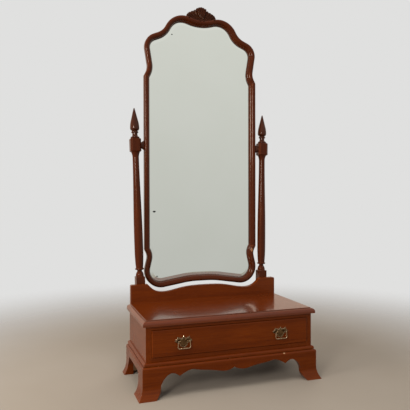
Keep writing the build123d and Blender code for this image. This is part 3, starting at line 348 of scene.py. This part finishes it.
def brass(name, handled):
    """Cast brass gone brown in its hollows, and bright on high places and where it is held: partly
    wear, partly painted highlight.
    """
    brown, dull, bright = (0.050, 0.026, 0.011), (0.26, 0.155, 0.070), (0.80, 0.63, 0.43)
    rim_wear_and_highlight, dirt = 0.0015, 0.004
    f = Finish(name)
    cloud = f.noise(f.place(), 160.0, 4.0, 0.65)
    fine = f.noise(f.place(), 900.0, 3.0, 0.6)
    held = f.math("MULTIPLY_ADD", cloud, 0.6, handled)
    # Bright rims, high places and held places: partly wear and partly painted highlight
    rub_and_highlight = f.math("MULTIPLY_ADD", f.edges(rim_wear_and_highlight), 3.4, held, clamp=True)
    colour = f.ramp(rub_and_highlight, [(0.20, brown), (0.44, dull), (0.74, bright)])
    colour = f.mix(f.math("MULTIPLY", f.hollows(dirt), 0.85), colour, (0.022, 0.012, 0.006))
    f.set(Base_Color=colour, Metallic=1.0)
    matt = f.math("MULTIPLY_ADD", fine, 0.4, f.math("MULTIPLY", rub_and_highlight, -0.25))
    f.set(Roughness=f.ramp(matt, [(0.0, 0.15), (0.5, 0.42)]))
    f.relief(fine, 0.12, 0.0002)
    return f.material


def steel(name):
    f = Finish(name)
    fine = f.noise(f.place((1, 1, 12)), 420.0, 3.0, 0.6)
    dull = f.noise(f.place(), 90.0, 4.0, 0.65)
    colour = f.ramp(dull, [(0.35, (0.16, 0.145, 0.13)), (0.65, (0.50, 0.48, 0.45))])
    f.set(Base_Color=colour, Metallic=1.0)
    f.set(Roughness=f.ramp(fine, [(0.3, 0.28), (0.7, 0.48)]))
    f.relief(fine, 0.1, 0.0002)
    return f.material


def leather(name):
    f = Finish(name)
    inputs = {"Vector": f.place(), "Scale": 900.0}
    cells = f.add("ShaderNodeTexVoronoi", inputs).outputs["Distance"]
    cloud = f.noise(f.place(), 120.0, 4.0)
    f.set(Base_Color=f.ramp(cloud, [(0.3, (0.085, 0.040, 0.020)), (0.7, (0.19, 0.10, 0.052))]))
    f.set(Roughness=f.ramp(cells, [(0.0, 0.75), (0.6, 0.55)]))
    f.relief(cells, 0.4, 0.0003)
    return f.material


# Places where the silvering has gone: across, up, and their half width and half height
GONE = (
    (-0.2180, 0.6684, 0.0072, 0.0042),
    (-0.2058, 0.3817, 0.0042, 0.0026),
    (-0.1356, 1.4553, 0.0040, 0.0026),
)
GONE_DEPTH = 0.02
GONE_COLOUR = (0.012, 0.013, 0.011)


def silvered_glass(name):
    """A looking glass with a few places where its silvering has gone, and a trace of haze."""
    glass_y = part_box("mirror_glass")[0].y
    f = Finish(name)
    haze = f.noise(f.place(), 3.0, 3.0)
    colour = f.ramp(haze, [(0.3, (0.800, 0.822, 0.755)), (0.7, (0.825, 0.845, 0.785))])
    for x, z, wide, high in GONE:
        gone = f.spot((x, glass_y, z), (wide, GONE_DEPTH, high))
        colour = f.mix(gone, colour, GONE_COLOUR)
    f.set(Base_Color=colour, Metallic=1.0)
    f.set(Roughness=f.ramp(haze, [(0.3, 0.015), (0.7, 0.035)]))
    return f.material


finishes = {
    "mirror_glass": silvered_glass("silvered_glass"),
    "aged_brass": brass("aged_brass", 0.0),
    "steel": steel("dull_steel"),
    "washer_leather": leather("washer_leather"),
}
handled_brass = brass("handled_brass", 0.20)


def finish_of(node):
    slot = slot_of[node]
    if node.startswith("bail"):
        return handled_brass
    return finishes[slot] if slot in finishes else wood_of(node)


def own_colour(index):
    """A different place in the pattern for each piece."""
    return (*((index * step) % 1.0 for step in PATTERN_STEPS), 1.0)


for index, (node, obj) in enumerate(sorted(nodes.items())):
    obj.data.materials.clear()
    obj.data.materials.append(finish_of(node))
    obj.color = own_colour(index)


# Pieces

def add_piece(name, mesh, like, replaced):
    """A new piece with the body, slot, finish and pattern of a CAD node."""
    obj = bpy.data.objects.new(name, mesh)
    bpy.context.scene.collection.objects.link(obj)
    mesh.materials.clear()
    mesh.materials.append(finish_of(like))
    obj.color = nodes[like].color
    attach(obj, body_of[like])
    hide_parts(*replaced)
    return obj


def mesh_of(bm, name):
    mesh = bpy.data.meshes.new(name)
    bmesh.ops.recalc_face_normals(bm, faces=bm.faces)
    bm.to_mesh(mesh)
    bm.free()
    return mesh


def welded(node):
    """A node's mesh with the points joined that lie in one place."""
    bm = bmesh.new()
    bm.from_mesh(nodes[node].data)
    bmesh.ops.remove_doubles(bm, verts=bm.verts, dist=WELD)
    return bm


def apply_modifiers(obj):
    graph = bpy.context.evaluated_depsgraph_get()
    made = bpy.data.meshes.new_from_object(obj.evaluated_get(graph))
    obj.modifiers.clear()
    obj.data = made


def smooth_faces(obj, sharp_angle):
    """Shades a piece smooth, apart from edges sharper than an angle in degrees."""
    obj.data.shade_smooth()
    obj.data.set_sharp_from_angle(angle=math.radians(sharp_angle))


def fuse(obj, voxel, smooth):
    """Joins the overlapping forms of a carved or cast piece into one skin."""
    remesh = obj.modifiers.new("fuse", "REMESH")
    remesh.mode = "VOXEL"
    remesh.voxel_size = voxel
    soften = obj.modifiers.new("soften", "SMOOTH")
    soften.factor = 0.5
    soften.iterations = smooth
    apply_modifiers(obj)
    obj.data.shade_smooth()


EASING = 0.9 * MM
FLAT_ANGLE, ARRIS_ANGLE = math.radians(0.5), math.radians(40)


def eased(node):
    """A board with its arrises eased, as a hand plane or paper leaves them."""
    bm = welded(node)
    bmesh.ops.dissolve_limit(bm, angle_limit=FLAT_ANGLE, verts=bm.verts, edges=bm.edges)
    joining = [e for e in bm.edges if len(e.link_faces) == 2]
    sharp = [e for e in joining if e.calc_face_angle() > ARRIS_ANGLE]
    bmesh.ops.bevel(
        bm, geom=sharp, offset=EASING, offset_type="OFFSET", segments=2, profile=0.5,
        affect="EDGES", clamp_overlap=True,
    )
    mesh = mesh_of(bm, f"eased_{node}")
    obj = add_piece(f"eased_{node}", mesh, node, [node])
    mesh.shade_smooth()
    obj.modifiers.new("even", "WEIGHTED_NORMAL")


# Screw slots: their length and width as shares of the head, the depth of the cut (half of it
# lies in the head), and how far each is turned from the one before, in radians
SLOT_LENGTH, SLOT_WIDTH, SLOT_CUT = 1.2, 0.14, 1.2 * MM
FIRST_TURN, NEXT_TURN = 0.4, 0.83


def islands(bm):
    """The points of each separate solid in a mesh, in the order of the mesh."""
    seen = set()
    for first in bm.verts:
        if first in seen:
            continue
        seen.add(first)
        island, edge = [], [first]
        while edge:
            vert = edge.pop()
            island.append(vert)
            for link in vert.link_edges:
                other = link.other_vert(vert)
                if other not in seen:
                    seen.add(other)
                    edge.append(other)
        yield island


def slotted(node):
    """Wood screws with a slot sawn across each head, every one turned its own way."""
    whole = welded(node)
    cuts = bmesh.new()
    turn = FIRST_TURN
    for island in islands(whole):
        low = Vector(min(v.co[k] for v in island) for k in range(3))
        high = Vector(max(v.co[k] for v in island) for k in range(3))
        head = high.x - low.x
        centre = Vector(((low.x + high.x) / 2, high.y, (low.z + high.z) / 2))
        size = Matrix.Diagonal((head * SLOT_LENGTH, SLOT_CUT, SLOT_WIDTH * head, 1.0))
        placed = Matrix.Translation(centre) @ Matrix.Rotation(turn, 4, "Y") @ size
        bmesh.ops.create_cube(cuts, size=1.0, matrix=placed)
        turn += NEXT_TURN
    cutter = bpy.data.objects.new("cutter", mesh_of(cuts, "cutter"))
    bpy.context.scene.collection.objects.link(cutter)
    obj = add_piece(f"slotted_{node}", mesh_of(whole, f"slotted_{node}"), node, [node])
    saw = obj.modifiers.new("saw", "BOOLEAN")
    saw.operation = "DIFFERENCE"
    saw.object = cutter
    apply_modifiers(obj)
    spent = cutter.data
    bpy.data.objects.remove(cutter)
    bpy.data.meshes.remove(spent)
    smooth_faces(obj, 30)


def sphere(bm, centre, radii, segments=20):
    made = bmesh.ops.create_uvsphere(
        bm, u_segments=segments, v_segments=segments // 2, radius=1.0
    )
    placed = Matrix.Translation(centre) @ Matrix.Diagonal((*radii, 1.0))
    bmesh.ops.transform(bm, verts=made["verts"], matrix=placed)


def tube(bm, path, radii, sides):
    """A round bar along points of an upright path, with a radius at each and closed ends."""
    rings = []
    for i, (point, radius) in enumerate(zip(path, radii)):
        ahead = (path[min(i + 1, len(path) - 1)] - path[max(i - 1, 0)]).normalized()
        out = TO_BACK.cross(ahead).normalized()
        ring = []
        for k in range(sides):
            turn = 2 * math.pi * k / sides
            away = out * math.cos(turn) + TO_BACK * math.sin(turn)
            ring.append(bm.verts.new(point + away * radius))
        rings.append(ring)
    for a, b in zip(rings, rings[1:]):
        for k in range(sides):
            after = (k + 1) % sides
            bm.faces.new((a[k], a[after], b[after], b[k]))
    bm.faces.new(reversed(rings[0]))
    bm.faces.new(rings[-1])


def surface(node):
    """A node's own surface, to find where a line meets it."""
    mesh = nodes[node].data
    corners = [p.vertices for p in mesh.polygons]
    return BVHTree.FromPolygons([v.co for v in mesh.vertices], corners)


def smooth_step(low, high, value):
    t = min(1.0, max(0.0, (value - low) / (high - low)))
    return t * t * (3 - 2 * t)


# Crest: a ribbed fan between two leaves, over a roll with beads.
# Angles are in degrees from upright about a hub below the crest, sizes in millimetres.
CREST_HALF, FAN_HALF = 72.0, 20.0
FAN_RIBS, LEAF_RIBS = 2.5, 5.5
CREST_STEPS, CREST_ROWS = 360, 30
HUB_DROP, LINE_DEPTH = 20, 1.5
# A line that misses the shell ends at this reach; the leaves start this far inside the rail
CREST_REACH, CREST_ROOT = 70, 2.0
# How much the rim falls back, between ribs and all along, and the least height of a leaf
RIM_SCALLOP, RIM_BACK, LEAF_LEAST = 0.6, 0.1, 1.5
FAN_EDGE, NOTCH_WIDTH = 1.2, 2.2
# Depths: leaf, its swelling, the fan over the leaves, ribs at root and their growth to the rim,
# the notch beside the fan, the rounding at the rim, and the back
LEAF_DEPTH, SWELL_DEPTH, FAN_DEPTH = 7.0, 3.0, 3.6
RIB_DEPTH, RIB_GROWTH, RIB_MIDDLE = 1.6, 3.4, 0.45
NOTCH_DEPTH, RIM_DEPTH, BACK_DEPTH = 1.8, 4.5, 0.6
# The roll along the rail: its half length, step, place and radius, and how much thinner its ends
ROLL_HALF, ROLL_STEP, ROLL_FRONT, ROLL_RISE = 62, 2, 11.6, 0.4
ROLL_RADIUS, ROLL_TAPER, ROLL_SIDES = 3.4, 1.1, 14
# Beads: how far across, and their radius
BEADS = ((-61, 4.2), (59, 4.2), (-8, 3.6), (8, 3.6))
BEAD_DROP, BEAD_DEPTH = 4.5, 3.4
# Lines start this far outside, in metres
OUTSIDE, FAR_OUTSIDE = 0.1, 0.2


def rib_at(angle):
    """How far across a rib an angle lies: 1 on its ridge, 0 in the grooves beside it."""
    a = abs(angle)
    width = FAN_HALF / FAN_RIBS if a < FAN_HALF else (CREST_HALF - FAN_HALF) / LEAF_RIBS
    start = a + width / 2 if a < FAN_HALF else a - FAN_HALF
    across = (start % width) / width * 2 - 1
    return math.sqrt(max(0.0, 1 - across * across))


def crest_depth(u, rib, middle, notch):
    """The depth of the carving at a share of its height, from the root (0) to the rim (1)."""
    swell = math.sin(math.pi * min(1.0, 0.18 + 0.72 * u))
    depth = LEAF_DEPTH + SWELL_DEPTH * swell + FAN_DEPTH * middle * smooth_step(0.0, 0.3, u)
    depth += (RIB_DEPTH + RIB_GROWTH * u) * (rib - RIB_MIDDLE) - NOTCH_DEPTH * notch * u
    return depth - RIM_DEPTH * smooth_step(0.88, 1.0, u) ** 2


def carved_crest():
    low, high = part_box("crest_shell")
    shell, rail = surface("crest_shell"), surface("frame_top")
    back_y = high.y
    line_y = high.y - LINE_DEPTH * MM

    def on_rail(across):
        return rail.ray_cast(Vector((across * MM, line_y, high.z + OUTSIDE)), DOWN)[0]

    hub = Vector((0, line_y, on_rail(0).z - HUB_DROP * MM))
    bm = bmesh.new()
    front, rear = [], []
    for i in range(CREST_STEPS + 1):
        angle = CREST_HALF * (2 * i / CREST_STEPS - 1)
        ray = Vector((math.sin(math.radians(angle)), 0, math.cos(math.radians(angle))))
        outer = shell.ray_cast(hub + ray * FAR_OUTSIDE, -ray)[0]
        inner = rail.ray_cast(hub + ray * FAR_OUTSIDE, -ray)[0]
        reach_out = (outer - hub).length if outer else CREST_REACH * MM
        reach_in = (inner - hub).length - CREST_ROOT * MM
        rib = rib_at(angle)
        middle = 1 - smooth_step(FAN_HALF - FAN_EDGE, FAN_HALF + FAN_EDGE, abs(angle))
        notch = math.exp(-(((abs(angle) - FAN_HALF) / NOTCH_WIDTH) ** 2))
        reach_out -= (RIM_SCALLOP * MM) * (1 - rib) + RIM_BACK * MM
        span = max(reach_out - reach_in, LEAF_LEAST * MM)
        column_front, column_rear = [], []
        for j in range(CREST_ROWS + 1):
            u = j / CREST_ROWS
            point = hub + ray * (reach_in + span * u)
            point.y = back_y - crest_depth(u, rib, middle, notch) * MM
            column_front.append(bm.verts.new(point))
            column_rear.append(bm.verts.new((point.x, back_y - BACK_DEPTH * MM, point.z)))
        front.append(column_front)
        rear.append(column_rear)
    top = CREST_ROWS
    for i in range(CREST_STEPS):
        k = i + 1
        for j in range(CREST_ROWS):
            bm.faces.new((front[i][j], front[k][j], front[k][j + 1], front[i][j + 1]))
            bm.faces.new((rear[i][j], rear[i][j + 1], rear[k][j + 1], rear[k][j]))
        bm.faces.new((front[i][top], front[k][top], rear[k][top], rear[i][top]))
        bm.faces.new((front[k][0], front[i][0], rear[i][0], rear[k][0]))
    for i, flip in ((0, False), (CREST_STEPS, True)):
        for j in range(CREST_ROWS):
            face = (front[i][j], front[i][j + 1], rear[i][j + 1], rear[i][j])
            bm.faces.new(reversed(face) if flip else face)

    roll, radii = [], []
    for i in range(-ROLL_HALF, ROLL_HALF + 1, ROLL_STEP):
        at = on_rail(i)
        roll.append(Vector((at.x, back_y - ROLL_FRONT * MM, at.z + ROLL_RISE * MM)))
        radii.append((ROLL_RADIUS - ROLL_TAPER * abs(i) / ROLL_HALF) * MM)
    tube(bm, roll, radii, ROLL_SIDES)
    for i, size in BEADS:
        at = on_rail(i)
        outside = Vector((at.x, low.y - OUTSIDE, at.z - BEAD_DROP * MM))
        face = rail.ray_cast(outside, TO_BACK)[0]
        sphere(bm, face, (size * MM, BEAD_DEPTH * MM, size * MM))
    mesh = mesh_of(bm, "carved_crest")
    obj = add_piece("carved_crest", mesh, "crest_shell", ["crest_shell"])
    fuse(obj, 0.6 * MM, 1)


carved_crest()


# Handles: cast plates with a raised rim and field, and bails with a swelling in the middle.
# Sizes are in millimetres.

# The right half of a plate's outline, from its middle: runs of curve, each by four points
PLATE_RUNS = (
    ((0.0, 22.3), (3.0, 17.0), (6.2, 14.2), (10.2, 13.4)),
    ((10.2, 13.4), (13.2, 17.4), (18.0, 15.2), (24.3, 19.4)),
    ((24.3, 19.4), (23.4, 13.0), (27.0, 8.6), (33.3, 5.6)),
    ((33.3, 5.6), (31.2, -0.6), (27.4, -2.6), (22.6, -3.4)),
    ((22.6, -3.4), (18.0, -3.2), (14.6, -6.4), (13.6, -11.4)),
    ((13.6, -11.4), (13.4, -16.8), (7.0, -17.4), (0.0, -20.8)),
)
RUN_STEPS = 8
# The middle lies this far below the top of the plate
PLATE_TOP = 22.5
# Points inside the outline: their spacing, their rows, and their least distance from it
GRID_STEP, GRID_ACROSS, GRID_UP, GRID_CLEAR = 0.6, range(-58, 59), range(-37, 39), 0.35
# Constrained triangulation that keeps only what lies inside the outline
CDT_INSIDE = 1


def plate_outline():
    """A plate's outline, clockwise from its top."""
    points = []
    for run in PLATE_RUNS:
        for k in range(RUN_STEPS):
            t = k / RUN_STEPS
            w = ((1 - t) ** 3, 3 * t * (1 - t) ** 2, 3 * t * t * (1 - t), t**3)
            points.append(Vector(sum(s * p[axis] for s, p in zip(w, run)) for axis in (0, 1)))
    points.append(Vector(PLATE_RUNS[-1][-1]))
    return points + [Vector((-p.x, p.y)) for p in reversed(points[1:-1])]


def from_outline(point, ring):
    """How far a point lies inside a ring of points, or less than 0 outside it."""
    nearest, inside = math.inf, False
    for a, b in zip(ring, ring[1:] + ring[:1]):
        t = min(1.0, max(0.0, (point - a).dot(b - a) / (b - a).length_squared))
        nearest = min(nearest, (point - a.lerp(b, t)).length)
        if (a.y > point.y) != (b.y > point.y):
            if point.x < a.x + (point.y - a.y) * (b.x - a.x) / (b.y - a.y):
                inside = not inside
    return nearest if inside else -nearest


def plate_height(away):
    """How far a plate stands off the drawer at a distance from its outline."""
    rim = 0.9 + 0.6 * smooth_step(0.0, 0.8, away)
    groove = 0.55 * smooth_step(1.5, 2.2, away) * (1 - smooth_step(2.6, 3.4, away))
    field = 0.15 * smooth_step(3.0, 6.0, away)
    return rim - groove + field


def plate_skin():
    """Points of a plate's face, outline first, their heights, and triangles of face and back."""
    ring = plate_outline()
    border = [list(range(len(ring)))]
    points = list(ring)
    for i in GRID_ACROSS:
        for k in GRID_UP:
            point = Vector((i * GRID_STEP, k * GRID_STEP))
            if from_outline(point, ring) > GRID_CLEAR:
                points.append(point)
    made, _, triangles, *_ = delaunay_2d_cdt(points, [], border, CDT_INSIDE, WELD)
    heights = [plate_height(max(0.0, from_outline(p, ring))) for p in made]
    under = delaunay_2d_cdt(ring, [], border, CDT_INSIDE, WELD)[2]
    return len(ring), made, heights, triangles, under


PLATE = plate_skin()


def cast_plate(name):
    low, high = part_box(f"handle_plate_{name}")
    middle = Vector(((low.x + high.x) / 2, high.y, high.z - PLATE_TOP * MM))
    count, points, heights, triangles, under = PLATE
    bm = bmesh.new()
    face = [
        bm.verts.new(middle + Vector((p.x, -h, p.y)) * MM) for p, h in zip(points, heights)
    ]
    back = [bm.verts.new(middle + Vector((p.x, 0, p.y)) * MM) for p in points[:count]]
    for a, b, c in triangles:
        bm.faces.new((face[a], face[b], face[c]))
    for k in range(count):
        after = (k + 1) % count
        bm.faces.new((face[k], face[after], back[after], back[k]))
    for a, b, c in under:
        bm.faces.new((back[a], back[c], back[b]))
    mesh = mesh_of(bm, f"cast_plate_{name}")
    obj = add_piece(f"cast_plate_{name}", mesh, f"handle_plate_{name}", [f"handle_plate_{name}"])
    smooth_faces(obj, 40)


# Bails: half widths at the knuckles and the bar, the drop between them, the corner's radius,
# and the number of points along an arm, a corner and half the bar
BAIL_TOP, BAIL_LOW, BAIL_DROP, BAIL_CORNER = 22.0, 24.0, 27.0, 6.5
ARM_STEPS, CORNER_STEPS, BAR_STEPS = 6, 8, 24
# Radii: arm and its growth, corner, bar, knuckle and pin
ARM_RADIUS, ARM_GROWTH, CORNER_RADIUS, BAR_RADIUS = 1.75, 0.25, 2.0, 1.9
KNUCKLE, PIN_RADIUS, PIN_LENGTH = 2.2, 1.5, 10.0
BAIL_SIDES = 18


def bar_swelling(x):
    """How much thicker the bar is at a distance from its middle: a belly and two rings."""
    belly = 0.75 * math.exp(-((x / 7.5) ** 2))
    return belly + 0.7 * math.exp(-((x - 10.5) ** 2))


def cast_bail(name):
    low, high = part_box(f"bail_{name}")
    centre = Vector(((low.x + high.x) / 2, (low.y + high.y) / 2, high.z - KNUCKLE * MM))
    arm = BAIL_DROP - BAIL_CORNER
    path, radii = [], []

    def put(x, z, radius):
        path.append(centre + Vector((x, 0, z)) * MM)
        radii.append(radius * MM)

    for k in range(ARM_STEPS + 1):
        t = k / ARM_STEPS
        put(BAIL_TOP + (BAIL_LOW - BAIL_TOP) * t, -arm * t, ARM_RADIUS + ARM_GROWTH * t)
    for k in range(1, CORNER_STEPS + 1):
        turn = math.radians(90 * k / CORNER_STEPS)
        x = BAIL_LOW - BAIL_CORNER * (1 - math.cos(turn))
        put(x, -arm - BAIL_CORNER * math.sin(turn), CORNER_RADIUS)
    for k in range(1, BAR_STEPS + 1):
        x = (BAIL_LOW - BAIL_CORNER) * (1 - k / BAR_STEPS)
        swelling = bar_swelling(x)
        put(x, -BAIL_DROP + 0.5 * swelling, BAR_RADIUS + swelling)
    left = [Vector((2 * centre.x - p.x, p.y, p.z)) for p in reversed(path[:-1])]
    bm = bmesh.new()
    tube(bm, path + left, radii + list(reversed(radii[:-1])), BAIL_SIDES)
    for end in (-1, 1):
        knuckle = centre + Vector((end * BAIL_TOP, 0, 0)) * MM
        sphere(bm, knuckle, (KNUCKLE * MM,) * 3)
        pin = [knuckle, knuckle - Vector((end * PIN_LENGTH, 0, 0)) * MM]
        tube(bm, pin, [PIN_RADIUS * MM] * 2, BAIL_SIDES)
    mesh = mesh_of(bm, f"cast_bail_{name}")
    obj = add_piece(f"cast_bail_{name}", mesh, f"bail_{name}", [f"bail_{name}"])
    fuse(obj, 0.35 * MM, 2)


for name in SIDES:
    cast_plate(name)
    cast_bail(name)

for stem in ("case_side", "rear_bracket", "plinth", "drawer_side"):
    for name in SIDES:
        eased(f"{stem}_{name}")
for name in (
    "top_rail", "bottom_rail", "backboard", "plinth_front", "case_back_panel", "drawer_back",
):
    eased(name)

for name in ("backing_screws", "backboard_screws", "post_screws"):
    slotted(name)


# Stage: floor, light and camera

FLOOR_RADIUS, FLOOR_SIDES = 4.0, 96
# The floor is whole up to the first distance, and gone at the second
FLOOR_WHOLE, FLOOR_GONE = 0.7, 2.4
SURROUND = (0.745, 0.745, 0.738, 1)
SOFT_LIGHT, SOFT_STRENGTH = (1.0, 0.985, 0.97, 1), 0.45
MIRRORED_LOW, MIRRORED_HIGH = (0.56, 0.56, 0.55), (0.80, 0.80, 0.785)
MIRRORED_WARM = (1.0, 0.80, 0.66)
LAMP_COLOUR = (1.0, 0.97, 0.93)
# Lamps: place, aim, width in metres, watts, and whether polished things mirror it
LAMPS = {
    "side": ((-3.0, -0.35, 1.4), (0, 0, 0.8), 1.9, 79, False),
    "key": ((-2.4, -2.4, 1.6), (0, 0, 0.5), 0.9, 57, True),
    "top": ((-0.4, -0.9, 3.3), (0, 0, 0.5), 1.8, 40, False),
    "rear": ((2.6, 3.0, 2.4), (0, 0, 0.7), 2.0, 26, False),
}
# Camera: sensor width in millimetres, focal length and picture width in pixels, and its place
SENSOR, FOCAL, PICTURE = 36.0, 497.82, 410.0
CAMERA_AT = (-0.71888, -1.94944, 0.72059)
CAMERA_RIGHT = Vector((0.945743, -0.324910, -0.002014))
CAMERA_UP = Vector((0.005393, 0.009500, 0.999940))


def make_floor():
    """A plain floor that thins out with distance, so that no edge of it shows."""
    bm = bmesh.new()
    bmesh.ops.create_circle(bm, cap_ends=True, segments=FLOOR_SIDES, radius=FLOOR_RADIUS)
    mesh = bpy.data.meshes.new("floor")
    bm.to_mesh(mesh)
    bm.free()
    floor = bpy.data.objects.new("floor", mesh)
    bpy.context.scene.collection.objects.link(floor)
    f = Finish("floor")
    where = f.here()
    cloud = f.noise(where, 1.2)
    colour = f.ramp(cloud, [(0.3, (0.29, 0.245, 0.195)), (0.7, (0.32, 0.275, 0.225))])
    f.set(Base_Color=colour, Roughness=0.75, Specular_IOR_Level=0.2)
    far = f.vector("LENGTH", where)["Value"]
    thin = f.span(far, FLOOR_WHOLE, FLOOR_GONE, interpolation_type="SMOOTHSTEP")
    f.set(Alpha=f.math("SUBTRACT", 1.0, thin))
    mesh.materials.append(f.material)


def make_world():
    """An even pale surround: one light for soft shading, one colour seen, and one mirrored."""
    world = bpy.data.worlds.new("studio")
    bpy.context.scene.world = world
    world.use_nodes = True
    world.node_tree.nodes.clear()
    f = Nodes(world.node_tree)
    rays = f.add("ShaderNodeLightPath").outputs
    towards = f.add("ShaderNodeTexCoord").outputs["Generated"]
    axes = f.add("ShaderNodeSeparateXYZ", {0: towards}).outputs
    rise = f.span(axes["Z"], -0.25, 0.45)
    mirrored = f.ramp(rise, [(0.0, MIRRORED_LOW), (1.0, MIRRORED_HIGH)])
    mirrored = f.mix(f.span(axes["Y"], -0.2, 0.5), mirrored, MIRRORED_WARM, "MULTIPLY")

    def background(colour, strength=1.0):
        inputs = {"Color": colour, "Strength": strength}
        return f.add("ShaderNodeBackground", inputs).outputs[0]

    shown = background(SOFT_LIGHT, SOFT_STRENGTH)
    for ray, colour in (
        ("Is Transmission Ray", SURROUND),
        ("Is Glossy Ray", mirrored),
        ("Is Camera Ray", SURROUND),
    ):
        inputs = {0: rays[ray], 1: shown, 2: background(colour)}
        shown = f.add("ShaderNodeMixShader", inputs).outputs[0]
    f.add("ShaderNodeOutputWorld", {0: shown})


def make_lamp(name, at, target, size, watts, mirrored):
    data = bpy.data.lights.new(name, "AREA")
    data.shape = "DISK"
    data.size = size
    data.energy = watts
    data.color = LAMP_COLOUR
    lamp = bpy.data.objects.new(name, data)
    lamp.location = at
    lamp.visible_glossy = mirrored
    lamp.rotation_mode = "QUATERNION"
    lamp.rotation_quaternion = (Vector(target) - Vector(at)).to_track_quat("-Z", "Y")
    bpy.context.scene.collection.objects.link(lamp)


def make_camera():
    data = bpy.data.cameras.new("camera")
    data.sensor_width = SENSOR
    data.lens = SENSOR * FOCAL / PICTURE
    camera = bpy.data.objects.new("camera", data)
    backward = CAMERA_RIGHT.cross(CAMERA_UP)
    turn = Matrix((CAMERA_RIGHT, CAMERA_UP, backward)).transposed().to_4x4()
    camera.matrix_world = Matrix.Translation(CAMERA_AT) @ turn
    bpy.context.scene.collection.objects.link(camera)
    bpy.context.scene.camera = camera


make_floor()
make_world()
for name, lamp in LAMPS.items():
    make_lamp(name, *lamp)
make_camera()
bpy.context.scene.view_settings.view_transform = "Standard"
